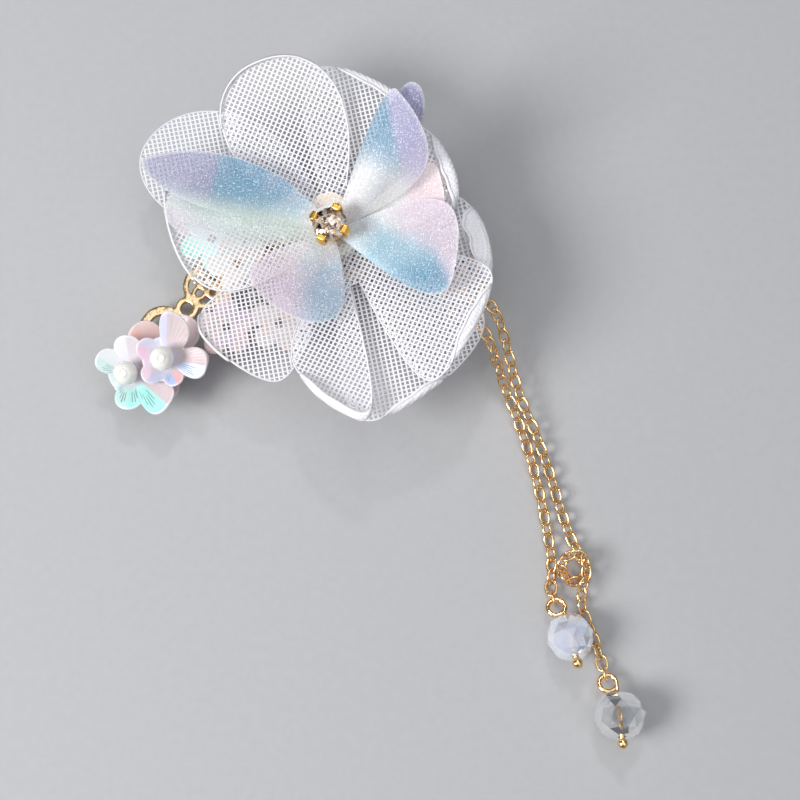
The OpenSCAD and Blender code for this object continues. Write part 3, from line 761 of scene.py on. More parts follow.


# %% [markdown]
# Organza lets light through between its threads. The finish mixes the dye with a fine woven grain
# and with white specks, painted glints of single threads; the same grain thins the cloth here and
# there, so the net below shines through.


# %% Finish for the organza
def organza_finish(name, cover):
    finish = Finish(name)
    place = finish.place()
    dye = finish.node("ShaderNodeVertexColor", {"layer_name": "dye"})
    left = finish.node("ShaderNodeVertexColor", {"layer_name": "dye"}, output=1)
    warp = finish.node("ShaderNodeTexWave", {"bands_direction": "X", "wave_profile": "SIN"},
                       {"Vector": place, "Scale": 1100.0, "Distortion": 9, "Detail": 2.0}, "Fac")
    grain = finish.noise(place, 4600, 2)
    mist = finish.noise(place, 260, 2)
    glint_speck = finish.node("ShaderNodeMapRange", {"interpolation_type": "SMOOTHSTEP"},
                        {"Value": grain, "From Min": 0.53, "From Max": 0.66})
    # White specks are painted glints; the paler weave lines are the cloth's own.
    colour = finish.blend(0.12 * warp + 0.36 * glint_speck, dye, paint(255, 255, 255))
    return finish.surface(
        Base_Color=colour, Roughness=0.5 - 0.22 * glint_speck, Sheen_Weight=0.12, Sheen_Roughness=0.4,
        Alpha=left * (cover + 0.25 * (glint_speck - 0.4) + 0.3 * (mist - 0.5) + 0.06 * warp),
        Normal=finish.bump(grain, 0.6, 0.00012))


# %% Cut and lay the wings
def wing_layer(name, rows, dyes, thin, level, finish, node, around=720, steps=26):
    a = np.arange(around) * 360 / around
    reach = layer_reach(rows, WING_FLOOR, a)
    shares = np.linspace(0, 1, steps) ** 0.85
    r = (EYELET_R + shares[:, None] * (reach - EYELET_R)).ravel()
    angle = np.tile(a, steps)
    points = np.stack([*polar(r, angle), wing_height(angle, r, level, rows)], -1)
    faces = disc_faces(around, steps)
    piece = make_piece(name, placed(SEAT, points), faces, finish, [node])
    colour = dyed(rows, dyes, angle, r)
    rim = np.repeat(shares == 1, around)[:, None]
    lay_dye_and_reflection(piece, np.where(rim, 0.5 * colour + 0.5, colour), thinned(rows, thin, angle, r))
    size, area = flat_size(np.stack(polar(reach, a), 1))
    print(name, "cut from", [round(s / MM, 1) for s in size], "mm")


wing_layer("wings_lower", LOWER_WINGS, LOWER_DYES, LOWER_THIN, 0,
           organza_finish("organza, lower", 0.72), "butterfly_lower")
wing_layer("wings_upper", UPPER_WINGS, UPPER_DYES, UPPER_THIN, 1,
           organza_finish("organza, upper", 0.74), "butterfly_upper")

# %% [markdown]
# ## Gilt metal
# Plate, setting, wire and chain are brass with a thin rose-gold plating. Plating is a clean mirror
# with tiny ripples, rubbed duller where it is handled; noise in the roughness and a faint bump
# give both, and a darker tone gathers in broad patches.


# %% Finish for gilt and for steel
def metal_finish(name, light, dark, rough, grain_scale=1600, dent=0.12, deep=0.00005):
    finish = Finish(name)
    place = finish.place()
    patch = finish.noise(place, 260, 3)
    grain = finish.noise(place, grain_scale, 2)
    return finish.surface(
        Base_Color=finish.blend(patch, paint(*light), paint(*dark)), Metallic=1.0,
        Roughness=rough + 0.14 * grain, Normal=finish.bump(grain, dent, deep))


def brushed_finish(name, light, dark):
    finish = Finish(name)
    stretched = finish.place().times((30, 900, 900))
    streak = finish.noise(stretched, 4, 3)
    return finish.surface(
        Base_Color=finish.blend(streak, paint(*light), paint(*dark)), Metallic=1.0,
        Roughness=0.22 + 0.2 * streak, Normal=finish.bump(streak, 0.15, 0.00003))


gilt_plate = metal_finish("gilt plate", (255, 238, 204), (250, 206, 146), 0.14,
                          grain_scale=1000, dent=0.5, deep=0.00014)
gilt_claws = metal_finish("gilt claws", (246, 204, 112), (222, 166, 70), 0.12)
gilt_wire = metal_finish("gilt wire", (255, 224, 172), (246, 196, 132), 0.12)
gilt_chain = metal_finish("gilt chain", (255, 226, 174), (246, 194, 128), 0.12)
clip_steel = brushed_finish("clip steel", (206, 204, 198), (168, 166, 162))

# %% Give the fixed pieces that stay their finishes
nylon_line = thread_finish("nylon line", (240, 240, 236), (224, 226, 226))
KEPT = {"clip": clip_steel, "head_pin_milky": gilt_wire, "head_pin_clear": gilt_wire,
        "sequin_post_1": nylon_line, "sequin_post_2": nylon_line}
for node, finish in KEPT.items():
    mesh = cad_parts[node].data
    mesh.materials.clear()
    mesh.materials.append(finish)
print("kept and refinished:", *KEPT)

# %% [markdown]
# Castings have no sharp edges: wax runs, metal shrinks and the plating rounds what is left. A bevel
# on a pierced plate with this many holes is slow and breaks where edges crowd. Remeshing a copy in
# fine voxels and relaxing it rounds every edge alike, so the rings catch long highlights.


# %% Cast the plate and the claw setting
def casting(name, node, voxel, relax, finish):
    piece = bpy.data.objects.new(name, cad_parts[node].data.copy())
    bpy.context.scene.collection.objects.link(piece)
    remesh = piece.modifiers.new("voxels", "REMESH")
    remesh.mode = "VOXEL"
    remesh.voxel_size = voxel * MM
    soften = piece.modifiers.new("relax", "SMOOTH")
    soften.factor = 0.5
    soften.iterations = relax
    shaped = piece.evaluated_get(bpy.context.evaluated_depsgraph_get())
    mesh = bpy.data.meshes.new_from_object(shaped)
    piece.modifiers.clear()
    piece.data = mesh
    mesh.polygons.foreach_set("use_smooth", [True] * len(mesh.polygons))
    mesh.materials.clear()
    mesh.materials.append(finish)
    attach(piece, "root")
    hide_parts(node)
    print(name, len(mesh.polygons), "faces")


casting("filigree", "filigree_plate", 0.14, 9, gilt_plate)
casting("claw_setting", "stone_setting", 0.07, 4, gilt_claws)

# %% [markdown]
# ## Fine cable chain
# Each link is a loop of soldered wire, turned a quarter from the last, so that they thread through
# each other. The chain is laid link by link along a route of points; near its ends it twists so
# that the end link stands up in the ring that it hangs in. A smooth oval with an eight-sided wire
# catches the light as drawn wire does.

# %% The routes of both chains: x, y, z, how much closer the links lie
FLAT_Z = 0.9
RIGHT_ABOVE = [
    [20.6, -10.2, 6.1, 1.1], [21.2, -11.8, 5.1, 1.05], [21.9, -14, 3.9, 1], [22.7, -17.2, 2.9, 1],
    [23.6, -20.1, 2.4, 1], [24.6, -22.4, 2, 1], [25.4, -24.2, 1.7, 1], [26.2, -26.3, 1.2, 1],
    [27.1, -29, FLAT_Z, 1], [28.6, -34.4, FLAT_Z, 1], [29.9, -38.2, FLAT_Z, 1.1],
    [30.7, -39.6, FLAT_Z, 1.2]]
RIGHT_BELOW = [
    [31.5, -42.5, 2.7, 1.1], [31.2, -44, 2.4, 1.1], [30.9, -45.6, 1.4, 1], [31.1, -47.2, FLAT_Z, 1],
    [32.2, -49.9, FLAT_Z, 1]]
LEFT_ROUTE = [
    [19.7, -13.9, 5.9, 1.1], [20.3, -15.3, 4.5, 1.05], [21, -17, 2.9, 1], [21.7, -18.7, 1.6, 1],
    [22.5, -20.5, 1, 1], [24.1, -25.1, FLAT_Z, 1], [25.2, -28.9, FLAT_Z, 1], [26, -32.6, FLAT_Z, 1],
    [26.7, -36.6, FLAT_Z, 1], [27.3, -40.6, FLAT_Z, 1]]

# The loose loop turns clockwise and climbs from its fourth point on, to cross over its start
COIL_AT, COIL_R, COIL_POINTS, COIL_STEP = (30.05, -41.9), 1.65, 10, 40
COIL_RISE, COIL_CROWDING = 1.93, 1.24
COIL = []
for i in range(COIL_POINTS):
    x, y = polar(COIL_R, COIL_STEP * (1 - i))
    t = max(0, min(1, (i - 3) / 3.5))
    COIL.append([COIL_AT[0] + x, COIL_AT[1] + y, FLAT_Z + COIL_RISE * t * t * (3 - 2 * t),
                 COIL_CROWDING])

# %% Where the chains begin and end
LINK_LEN, LINK_W, LINK_WIRE, LINK_PITCH = 2.43, 1.79, 0.35, 1.56
END_CROWDING = 1.12
EYELET_AWAY, EYELET_Z = 1.3, 0.2

# A drop's middle, its turn, and how far its loop stands to the side
MILKY_PLACE = [29.2, -50.7, 3.07, 102, 0.7]
CLEAR_PLACE = [35.1, -60.4, 3.32, 92, 1.05]
DROP_DIP = 20
LOOP_AT, LOOP_R, LOOP_GAP = 4.3, 1.1, 0.3


def from_eyelet(x, y, way):
    ways = [polar(far, way) for far in (EYELET_AWAY, EYELET_AWAY + LINK_PITCH)]
    points = placed(SEAT, [[x + dx, y + dy, EYELET_Z] for dx, dy in ways])
    return [[*p, END_CROWDING] for p in points]


def to_loop(place, way):
    turn, dip, way = (math.radians(v) for v in (place[3], DROP_DIP, way))
    axis = np.array([math.cos(turn) * math.cos(dip), math.sin(turn) * math.cos(dip),
                     -math.sin(dip)])
    side = np.array([-math.sin(turn), math.cos(turn), 0])
    middle = np.array(place[:3]) + LOOP_AT * axis + place[4] * side
    near = LOOP_R + LOOP_GAP
    return [[*(middle + far * (math.cos(way) * axis + math.sin(way) * side)), END_CROWDING]
            for far in (near + LINK_PITCH, near)]


# %% Lay the links along a route
def unit(v):
    return v / np.linalg.norm(v)


LEAN = 45
END_TWIST = [33, 24, 8]


def lay_chain(name, route, node, corners=24, wire_sides=8):
    route = np.array(route)
    step = np.linalg.norm(np.diff(route[:, :3], axis=0), axis=1)
    run = np.concatenate([[0], np.cumsum(step * (route[1:, 3] + route[:-1, 3]) / 2)])

    def at(s):
        i = min(max(np.searchsorted(run, s, "right") - 1, 0), len(run) - 2)
        t = (s - run[i]) / (run[i + 1] - run[i])
        return route[i, :3] + t * (route[i + 1, :3] - route[i, :3])

    count = round(run[-1] / LINK_PITCH)
    gap = run[-1] / count
    a = np.radians(np.arange(corners) * 360 / corners)[:, None, None]
    q = np.radians(np.arange(wire_sides) * 360 / wire_sides)[None, :, None]
    long, wide = (LINK_LEN - LINK_WIRE) / 2, (LINK_W - LINK_WIRE) / 2
    points, faces = [], []
    i = np.repeat(np.arange(corners), wire_sides)
    j = np.tile(np.arange(wire_sides), corners)
    i2, j2 = (i + 1) % corners, (j + 1) % wire_sides
    ring = np.stack([i * wire_sides + j, i * wire_sides + j2,
                     i2 * wire_sides + j2, i2 * wire_sides + j], 1)
    for k in range(count + 1):
        along = unit(at((k + 0.5) * gap) - at((k - 0.5) * gap))
        level = unit(np.cross([0, 0, 1], along))
        up = np.cross(along, level)
        turn = LEAN if k % 2 == 0 else -LEAN
        if k < len(END_TWIST):
            turn += END_TWIST[k]
        if count - k < len(END_TWIST):
            turn += END_TWIST[count - k] * (1 if count % 2 == 0 else -1)
        side = math.cos(math.radians(turn)) * level + math.sin(math.radians(turn)) * up
        face_way = np.cross(along, side)
        out = np.cos(a) / long * along + np.sin(a) / wide * side
        out = out / np.linalg.norm(out, axis=2, keepdims=True)
        ring_points = (at(k * gap) + long * np.cos(a) * along + wide * np.sin(a) * side
                       + LINK_WIRE / 2 * (np.cos(q) * out + np.sin(q) * face_way))
        faces.append(ring + k * corners * wire_sides)
        points.append(ring_points.reshape(-1, 3))
    print(name, count + 1, "links")
    make_piece(name, np.concatenate(points), np.concatenate(faces), gilt_chain,
               [node])


lay_chain("cable_chain_right",
          from_eyelet(18, -6.6, -50) + RIGHT_ABOVE + COIL + RIGHT_BELOW + to_loop(CLEAR_PLACE, 10),
          "chain_right")
lay_chain("cable_chain_left",
          from_eyelet(17.4, -10.1, -55) + LEFT_ROUTE + to_loop(MILKY_PLACE, 0), "chain_left")

# %% [markdown]
# ## Cut glass drops
# A fire-polished bead is a ball of glass with a hole, ground to rows of small diamonds. Rows of
# corners, each turned by half a step, make those diamonds when triangles join them. One is clear
# and one is opal: cloudy, blue where light bounces off it and warm where it shines through, both
# painted into its colour as soft patches, and it has a faint painted glow.


# %% Grind a bead
def cut_bead(rows, sides, bore, matrix):
    outline = [[bore, rows[0][1], 0]] + rows + [[bore, rows[-1][1], 0]]
    n = len(outline)
    points, faces = [], []
    for i in range(sides):
        for radius, height, half in outline:
            turn = math.pi / sides * (2 * i + half)
            points.append([radius * math.cos(turn), radius * math.sin(turn), height])
    for i in range(sides):
        for j in range(n):
            a, b = i * n + j, (i + 1) % sides * n + j
            j2 = (j + 1) % n
            c, d = (i + 1) % sides * n + j2, i * n + j2
            if outline[j2][2] > outline[j][2]:
                faces += [[a, b, d], [b, c, d]]
            elif outline[j2][2] < outline[j][2]:
                faces += [[a, b, c], [a, c, d]]
            else:
                faces.append([a, b, c, d])
    return placed(matrix, points), [f[::-1] for f in faces]


BEAD_HALF = 2.75

# Share of the radius, share of half the length, half steps turned
BEAD_ROWS = [[0.4, -1, 0], [0.7, -0.8, 1], [0.885, -0.42, 0], [1, 0, 1],
             [0.885, 0.42, 0], [0.7, 0.8, 1], [0.4, 1, 0]]


def bead_rows(radius, half):
    return [[r * radius, h * half, turned] for r, h, turned in BEAD_ROWS]


def drop_matrix(place):
    return (Matrix.Translation(place[:3]) @ Matrix.Rotation(math.radians(place[3]), 4, "Z")
            @ Matrix.Rotation(math.radians(90 + DROP_DIP), 4, "Y"))


# %% Finishes for glass
def glass_finish(name, light, dark, clear, rough, cloud=0.0, index=1.52, painted_glow=0.0):
    finish = Finish(name)
    place = finish.place()
    colour = finish.blend(finish.noise(place, 420, 3), paint(*light), paint(*dark))
    fine = finish.noise(place, 3000, 2)
    return finish.surface(
        Base_Color=colour, IOR=index, Transmission_Weight=clear, Roughness=rough + 0.04 * fine,
        Subsurface_Weight=cloud, Subsurface_Radius=(0.0012, 0.0014, 0.002), Subsurface_Scale=1.0,
        Coat_Weight=0.3, Coat_Roughness=0.03, Emission_Color=colour, Emission_Strength=painted_glow,
        Normal=finish.bump(fine, 0.03, 0.00002))


clear_glass = glass_finish("clear glass", (250, 251, 252), (236, 240, 242), 1.0, 0.0, index=1.56)
# The opal's blue and warm patches are painted light, and its glow is painted.
milky_glass = glass_finish("opal glass", (176, 206, 244), (255, 244, 240), 0.75, 0.03,
                           cloud=0.6, painted_glow=0.12)
crystal_glass = glass_finish("crystal", (252, 250, 246), (238, 236, 232), 1.0, 0.0, index=1.58)

# %% Cut the two drops and the small beads under the net
DROP_SIDES, DROP_BORE = 12, 0.5
DROPS = [("opal_drop", MILKY_PLACE, 3.02, milky_glass, "milky_glass", "milky_bead"),
         ("clear_drop", CLEAR_PLACE, 3.3, clear_glass, "clear_glass", "clear_bead")]
for name, place, radius, finish, slot, node in DROPS:
    rows = bead_rows(radius, BEAD_HALF)
    points, faces = cut_bead(rows, DROP_SIDES, DROP_BORE, drop_matrix(place))
    make_piece(name, points, faces, finish, [node], smooth=False)

CRYSTAL_R, CRYSTAL_SIDES, CRYSTAL_BORE, CRYSTAL_TURN = 0.85, 10, 0.3, 40
CRYSTALS = [[-11.3, -7, 1.75], [-7.2, -5.4, 1.75]]
for k, at in enumerate(CRYSTALS):
    turn = Matrix.Rotation(math.radians(CRYSTAL_TURN * k), 4, "Z")
    matrix = SEAT @ Matrix.Translation(at) @ turn @ Matrix.Rotation(math.radians(90), 4, "X")
    rows = bead_rows(CRYSTAL_R, CRYSTAL_R)
    points, faces = cut_bead(rows, CRYSTAL_SIDES, CRYSTAL_BORE, matrix)
    make_piece(f"crystal_{k + 1}", points, faces, crystal_glass,
               [f"crystal_bead_{k + 1}"], smooth=False)

# %% [markdown]
# ## The set stone
# A rhinestone is glass cut like a diamond, with foil on its back that throws the light out again.
# What the eye reads as sparkle is the back facets seen through the table, each mirroring another
# part of the room. The hull of a few rings of points gives the cut; the flat table is then split
# into a star, and every facet gets its own champagne tone, from near white to dark brown: a painted
# reflection over the stone's own colour. Small cells of a Voronoi pattern break each facet again
# into the splinters that the eye sees, painted glints in the same tones.


# %% Cut the stone and lay its foil
# Painted reflections: the tones that the facets mirror, over the stone's champagne colour.
FACET_REFLECTION_TONES = [tint(*c) for c in (
    (255, 248, 238), (176, 138, 118), (232, 206, 182), (70, 44, 32), (214, 178, 152),
    (255, 246, 230), (138, 100, 78), (26, 16, 12), (244, 222, 200), (184, 146, 124))]


def hull_piece(name, rings, finish, splits=0):
    """Rings of a radius, a height, a number of corners and the half steps they are turned."""
    builder = bmesh.new()
    for radius, height, sides, half in rings:
        for k in range(sides):
            turn = 2 * math.pi * (k + half / 2) / sides
            builder.verts.new((radius * math.cos(turn), radius * math.sin(turn), height))
    bmesh.ops.convex_hull(builder, input=builder.verts)
    bmesh.ops.dissolve_limit(builder, angle_limit=0.01, verts=builder.verts, edges=builder.edges)
    top = max(v.co.z for v in builder.verts)
    for _ in range(splits):
        table_faces = [f for f in builder.faces if min(v.co.z for v in f.verts) > top - 0.01]
        bmesh.ops.poke(builder, faces=table_faces)
    builder.verts.index_update()
    points = placed(STONE_SEAT, [tuple(v.co) for v in builder.verts])
    faces = [[v.index for v in f.verts] for f in builder.faces]
    builder.free()
    piece = make_piece(name, points, faces, finish, ["rhinestone"], smooth=False)
    # Each face gets one painted reflection tone.
    tones = piece.data.color_attributes.new("facet", "FLOAT_COLOR", "CORNER")
    for face in piece.data.polygons:
        tone = FACET_REFLECTION_TONES[(7 * face.index + face.index // 3) % len(FACET_REFLECTION_TONES)]
        for corner in face.loop_indices:
            tones.data[corner].color = (*tone, 1)


# Painted glints: the tones of the splinters in each facet.
SPLINTER_REFLECTION_TONES = [
    (0.3, tint(22, 12, 8)), (0.4, tint(118, 80, 58)), (0.48, tint(222, 186, 156)),
    (0.56, tint(255, 246, 232)), (0.64, tint(184, 146, 96)), (0.74, tint(255, 252, 246))]


def facet_finish(name, clear, metal):
    finish = Finish(name)
    cells = {"Vector": finish.place(), "Scale": 2300.0}
    facet = finish.node("ShaderNodeVertexColor", {"layer_name": "facet"})
    cell = finish.node("ShaderNodeTexVoronoi", None, cells, "Color")
    depth = finish.node("ShaderNodeTexVoronoi", None, cells, "Distance")
    splinter = finish.node("ShaderNodeValToRGB", {"stops": SPLINTER_REFLECTION_TONES}, {"Fac": cell}, "Color")
    # The colour mixes each facet's painted reflection with the painted glints of the cells.
    return finish.surface(
        Base_Color=finish.blend(0.55 + 0.1 * depth, facet, splinter), Metallic=metal,
        Roughness=0.06 + 0.1 * depth, Transmission_Weight=clear, IOR=1.6, Coat_Weight=0.15,
        Coat_Roughness=0.02, Normal=finish.bump(depth, 0.5, 0.0001))


GIRDLE_Z = 9.8
STONE_R = 2.2
STONE_SEAT = SEAT @ Matrix.Translation((0, 0, GIRDLE_Z))
CUT = [(1.2, 0.6, 8, 0), (1.78, 0.36, 8, 1), (STONE_R, 0.06, 16, 0), (STONE_R, -0.06, 16, 0),
       (1.1, -0.66, 8, 1), (0.1, -1.13, 8, 0)]
FOIL = [(1.82, -0.29, 16, 0), (1.09, -0.7, 8, 1), (0.1, -1.17, 8, 0), (1.78, -0.34, 16, 0)]
hull_piece("cut_stone", CUT, facet_finish("cut stone", 0.1, 0.5), splits=3)
hull_piece("stone_foil", FOIL, facet_finish("stone foil", 0.0, 0.9))

# %% [markdown]
# ## Cupped sequin flowers
# These are stamped from pearly plastic film. Each petal has a ridge down its middle, so its two
# sides mirror different parts of the room: one looks mint or blue, the other a warm beige. Fine
# dashes are pressed into the coloured side, and the cut edge is thick and pale. A smooth gradient
# would lose that, so each petal has a row with the tones of both its sides, painted reflections
# over the film's own pearly tints.

# %% The sequins' petals
MINT_SEQUIN = [
    [152, 4.7, 0, 36, 44, 2.5, 2.5], [92, 4.9, 0, 42, 44, 2.5, 2.5], [28, 3.8, 0, 42, 40, 2.2, 2.2],
    [-37, 7, 0, 33, 36, 3.5, 3], [-91, 4.7, 0, 46, 46, 2.5, 2.5]]
BLUE_SEQUIN = [
    [84, 6.1, 0, 20, 60, 2, 2], [-10, 5.7, 0, 40, 34, 3, 3], [-62, 3.8, 0, 36, 40, 2.5, 2.5],
    [150, 3.9, 0, 44, 44, 2.2, 2.2], [-130, 3.8, 0, 42, 46, 2.2, 2.2]]
PINK_SEQUIN = [
    [140, 6.2, 0, 42, 44, 2.2, 2.2], [63, 6, 0, 44, 44, 2.2, 2.2], [-6, 5.3, 0, 38, 40, 2.2, 2.2],
    [-94, 5.6, 0, 32, 34, 3, 2.2], [-150, 3.6, 0, 38, 38, 2.2, 2.2]]
MINT_PLACE = [-27, -17.1, 4.9, 240, 15]
BLUE_PLACE = [-22.2, -15.8, 7.35, 262, 12]
PINK_PLACE = [-22.2, -14.9, 3.4, 0, 0]
PLATE_SEQUINS = [
    [-14.8, -10.8, 1.25, 20, 4], [-17, 1.4, 1.25, 60, 4.4], [10.6, 8, 1.25, 100, 4.8],
    [-13.2, -2.4, 2.1, 40, 4.2], [-7.6, -10.6, 2.1, 10, 4]]


def tip_matrix(place):
    lean = (Matrix.Rotation(math.radians(place[3]), 4, "Z")
            @ Matrix.Rotation(math.radians(place[4]), 4, "Y")
            @ Matrix.Rotation(math.radians(-place[3]), 4, "Z"))
    return Matrix.Translation(place[:3]) @ lean


# %% The two tones of each petal, painted reflections: anticlockwise side, clockwise side, and whether each is lined
MINT_REFLECTION_TONES = [
    [(206, 248, 242), (236, 246, 248), 1, 0], [(236, 242, 246), (226, 218, 228), 0, 0],
    [(222, 204, 214), (226, 208, 212), 0, 0], [(216, 200, 204), (150, 246, 236), 0, 1],
    [(156, 248, 238), (190, 252, 246), 1, 1]]
BLUE_REFLECTION_TONES = [
    [(206, 216, 250), (218, 204, 204), 0, 0], [(216, 200, 200), (182, 212, 250), 0, 1],
    [(250, 176, 176), (172, 200, 250), 0, 1], [(250, 206, 234), (222, 222, 246), 0, 0],
    [(206, 214, 246), (236, 210, 226), 0, 0]]
PINK_REFLECTION_TONES = [
    [(250, 192, 174), (244, 204, 194), 0, 0], [(226, 206, 210), (222, 202, 202), 0, 0],
    [(228, 206, 208), (222, 208, 220), 0, 0], [(230, 206, 210), (224, 206, 214), 0, 0],
    [(226, 208, 216), (226, 206, 210), 0, 0]]
RIM_TONE = tint(246, 244, 246)
MIDDLE_TONE = tint(226, 224, 236)
LINE_TONE = tint(52, 112, 116)
SHADE = 0.8
LANES = 8
DASH_BEGINS, DASH_LONG, DASH_HALF, DASH_INK = 0.5, 0.26, 0.2, 0.85
RIM_W = 0.32


def petal_sides(rows, a):
    """The petal that each place belongs to, and how far across it lies."""
    own = owner(rows, a)
    return own, np.take_along_axis(np.stack([across(row, a) for row in rows]), own[None], 0)[0]


def petal_colours(rows, tones, a, r, rim):
    own, x = petal_sides(rows, a)
    acw = np.array([tint(*row[0]) for row in tones])[own]
    cw = np.array([tint(*row[1]) for row in tones])[own]
    # Each side of the ridge gets its own painted reflection tone.
    colour = cw + (acw - cw) * np.clip(0.5 + 7 * x, 0, 1)[:, None]
    lined = np.where(x > 0, *(np.array([row[side] for row in tones])[own] for side in (2, 3)))
    lane = LANES * x
    number = np.floor(lane)
    begins = DASH_BEGINS + 0.08 * np.sin(5 * number + own)
    dash = (np.abs(lane - number - 0.5) < DASH_HALF) & (np.abs(x) > 0.12) & (np.abs(x) < 0.8)
    dash = dash & (r / rim > begins) & (r / rim < begins + DASH_LONG)
    inner = np.clip((2.6 - r) / 1.2, 0, 1)
    edge = 0.8 * np.clip(1.25 - (rim - r) / RIM_W, 0, 1)
    for tone, share in ((LINE_TONE, DASH_INK * dash * lined), (MIDDLE_TONE, inner),
                        (RIM_TONE, edge)):
        colour = colour + (np.array(tone) - colour) * share[:, None]
    return SHADE * colour


# %% Press a sequin
EYE_R, FLAT_R, FILM_T = 0.6, 1.6, 0.3
RIDGE, GROOVE, ROUND_GROOVE = 0.4, 0.005, 0.03


def press_sequin(name, rows, reach, cup, matrix, finish, node, tones=None,
                 around=480, steps=30):
    a = np.arange(around) * 360 / around
    rim = reach(a)
    r = EYE_R + np.linspace(0, 1, steps)[:, None] * (rim - EYE_R)
    rise = np.clip(r - FLAT_R, 0, None) * math.tan(math.radians(cup))
    if rows:
        x = petal_sides(rows, a)[1]
        rise = rise + RIDGE * (0.35 - np.abs(x)) * np.clip((r - FLAT_R) / (rim - FLAT_R), 0, 1)
        groove = GROOVE * np.sin(2 * np.pi * LANES * x)
    else:
        groove = ROUND_GROOVE * np.sin(np.radians(25 * a))
    groove = groove * np.clip((r - 2) / 1.5, 0, 1) * np.clip((rim - r) / 0.5, 0, 1)
    edge = np.clip((r - rim + 0.25) / 0.25, 0, 1)
    half = FILM_T / 2 * np.sqrt(1.02 - edge ** 2)
    points = [np.stack([*polar(r, a), rise + groove + side * half], -1).reshape(-1, 3)
              for side in (1, -1)]
    n = around * steps
    i = np.arange(around)
    j = (i + 1) % around
    last = n - around
    sheet = disc_faces(around, steps)
    walls = [np.stack([i + last, i + last + n, j + last + n, j + last], 1),
             np.stack([j, j + n, i + n, i], 1)]
    piece = make_piece(name, placed(matrix, np.concatenate(points)),
                       np.concatenate([sheet, sheet[:, ::-1] + n, *walls]), finish, [node])
    if tones:
        colour = petal_colours(rows, tones, np.tile(a, steps), r.ravel(), np.tile(rim, steps))
        lay_dye_and_reflection(piece, np.concatenate([colour, colour]), np.ones(2 * n))


# %% Finish for pearly film
def pearly_finish(name, middle, outer, painted_sheen, at):
    """Colour runs from the middle to the rim, with patches of painted sheen, and a painted glow."""
    finish = Finish(name)
    place = finish.place()
    away = finish.node("ShaderNodeVectorMath", {"operation": "DISTANCE"},
                       {0: place, 1: tuple(c * MM for c in at)}, "Value")
    ring = finish.node("ShaderNodeMapRange", {"interpolation_type": "SMOOTHSTEP"},
                       {"Value": away, "From Min": 1.5 * MM, "From Max": 5.5 * MM})
    cloud = finish.noise(place, 330, 2)
    patch = finish.node("ShaderNodeMapRange", {"interpolation_type": "SMOOTHSTEP"},
                        {"Value": cloud, "From Min": 0.5, "From Max": 0.64})
    base = finish.blend(ring, paint(*middle), paint(*outer))
    colour = finish.blend(patch, base, paint(*painted_sheen))
    fine = finish.noise(place, 2600, 2)
    # The emission is a painted glow: the film lights itself, so the sequins look bright in the
    # net's shade.
    return finish.surface(
        Base_Color=colour, Roughness=0.16 + 0.16 * fine, Metallic=0.2, Coat_Weight=0.3,
        Coat_Roughness=0.1, Transmission_Weight=0.12, Subsurface_Weight=0.2,
        Subsurface_Scale=0.001, Thin_Film_Thickness=380.0, Thin_Film_IOR=1.4,
        Emission_Color=colour, Emission_Strength=0.18, Normal=finish.bump(fine, 0.08, 0.00004))


def toned_film(name):
    """The film takes its tone from the petals' two sides, painted reflections, with pale patches of
    painted pearly sheen, under a clear gloss.
    """
    finish = Finish(name)
    place = finish.place()
    dye = finish.node("ShaderNodeVertexColor", {"layer_name": "dye"})
    cloud = finish.noise(place, 420, 2)
    fine = finish.noise(place, 2600, 2)
    # Pale cloudy patches are painted pearly sheen over the painted reflections.
    return finish.surface(
        Base_Color=finish.blend(0.35 * cloud, dye, paint(250, 246, 250)),
        Roughness=0.28 + 0.2 * fine, Metallic=0.05, Coat_Weight=0.2, Coat_Roughness=0.15,
        Subsurface_Weight=0.15, Subsurface_Scale=0.001, Thin_Film_Thickness=300.0,
        Thin_Film_IOR=1.35, Normal=finish.bump(fine, 0.06, 0.00004))


TIP_FLOOR, TIP_CUP, PLATE_CUP = 2.9, 18, 4


def tip_reach(rows):
    return lambda a: layer_reach(rows, TIP_FLOOR, a)


TIP = [("sequin_mint", MINT_SEQUIN, MINT_REFLECTION_TONES, MINT_PLACE, 1),
       ("sequin_blue", BLUE_SEQUIN, BLUE_REFLECTION_TONES, BLUE_PLACE, 2),
       ("sequin_pink", PINK_SEQUIN, PINK_REFLECTION_TONES, PINK_PLACE, 3)]
for slot, rows, tones, place, number in TIP:
    press_sequin(f"{slot}_flower", rows, tip_reach(rows), TIP_CUP, tip_matrix(place),
                 toned_film(slot.replace("_", " ")), f"sequin_flower_{number}", tones)


# %% Lay the sequins that show through the net
def round_petals(radius):
    return lambda a: radius * (0.5 + 0.5 * np.abs(np.cos(np.radians(2.5 * a))) ** 0.55)


# Each sequin: a name, its middle and outer tints, and its painted sheen.
PLATE_TONES = [
    ("sequin_pink", (230, 208, 210), (224, 190, 186), (210, 190, 212)),
    ("sequin_mint", (206, 244, 236), (108, 222, 194), (206, 240, 240)),
    ("sequin_pink", (232, 214, 210), (230, 196, 186), (214, 198, 216)),
    ("sequin_clear", (228, 226, 222), (206, 214, 212), (232, 216, 210)),
    ("sequin_clear", (230, 224, 222), (216, 208, 212), (234, 216, 208))]
for k, ((x, y, z, turn, radius), (slot, *tones)) in enumerate(zip(PLATE_SEQUINS, PLATE_TONES)):
    matrix = SEAT @ Matrix.Translation((x, y, z)) @ Matrix.Rotation(math.radians(turn), 4, "Z")
    finish = pearly_finish(f"pearly film {k + 1}", *tones, matrix.translation)
    press_sequin(f"plate_sequin_{k + 1}", None, round_petals(radius), PLATE_CUP, matrix, finish,
                 f"sequin_flower_{k + 4}", around=240, steps=16)

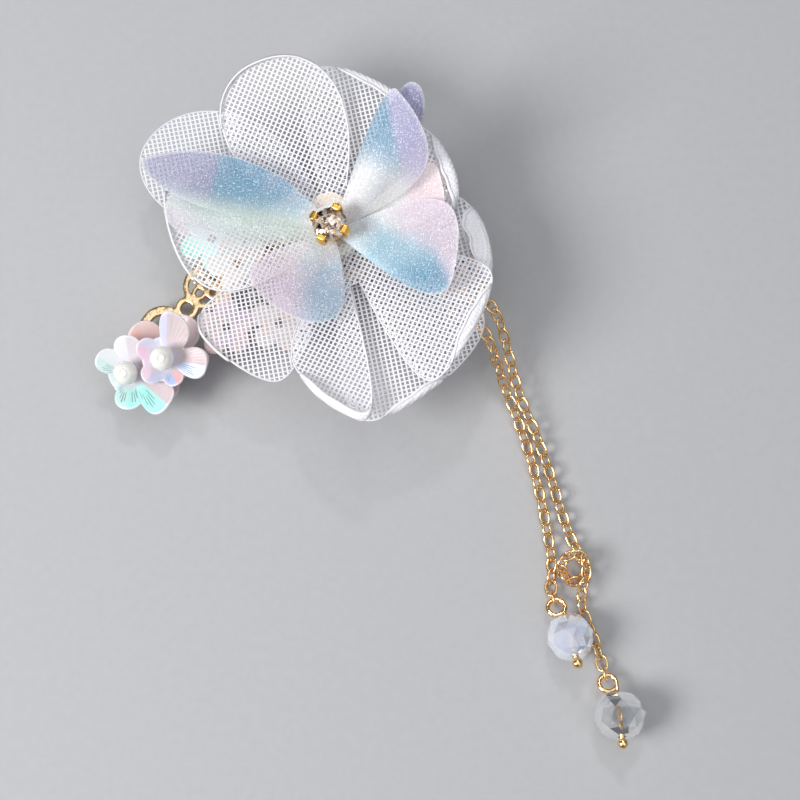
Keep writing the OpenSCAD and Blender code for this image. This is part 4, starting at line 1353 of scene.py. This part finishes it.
# %% [markdown]
# ## White round beads
# The mint and the blue sequin have a milk-white glass bead in their middles, on a nylon line.
# Turning a bead is a lathe job: a half circle with a raised ring round its hole, spun about the
# line that holds it. The line's melted end plugs the hole, so it shows as a white dimple.


# %% Turn the beads
PLUG = [[0.58, 1.5], [0.53, 1.56], [0.46, 1.58], [0.39, 1.56], [0.34, 1.49], [0.26, 1.44],
        [0.16, 1.43], [0.08, 1.45], [0.01, 1.46]]
BEAD_R, BORE_LIP, BEAD_SEAT = 1.55, 0.64, 0.5


def turned_bead(name, place, node, finish, around=64, steps=28):
    low = math.asin(BORE_LIP / BEAD_R)
    profile = [[BEAD_R * math.sin(t), -BEAD_R * math.cos(t)]
               for t in np.linspace(low, math.pi - low, steps)]
    profile = [[r, -z] for r, z in PLUG[::-1]] + profile + PLUG
    n = len(profile)
    points = [[*polar(r, a), z + BEAD_SEAT + BEAD_R]
              for a in np.arange(around) * 360 / around for r, z in profile]
    faces = []
    for i in range(around):
        i2 = (i + 1) % around
        faces += [[i * n + j, i2 * n + j, i2 * n + (j + 1) % n, i * n + (j + 1) % n]
                  for j in range(n)]
    make_piece(name, placed(tip_matrix(place), points), faces, finish, [node])


def bead_finish():
    finish = Finish("milk white glass")
    place = finish.place()
    cloud = finish.noise(place, 700, 3)
    return finish.surface(
        Base_Color=finish.blend(cloud, paint(244, 243, 238), paint(226, 226, 224)),
        Roughness=0.1 + 0.1 * cloud, Subsurface_Weight=0.6, Subsurface_Scale=1.0,
        Subsurface_Radius=(0.0008, 0.0007, 0.0006), Coat_Weight=0.6, Coat_Roughness=0.04,
        Normal=finish.bump(cloud, 0.05, 0.00003))


milk_white = bead_finish()
turned_bead("white_bead_1", MINT_PLACE, "pearl_bead_1", milk_white)
turned_bead("white_bead_2", BLUE_PLACE, "pearl_bead_2", milk_white)

# %% [markdown]
# ## Bring the scene up to date
# The dressed ornament must stay the size of the fixed model; only cloth may stand a little proud.

# %% Update the view layer
bpy.context.view_layer.update()
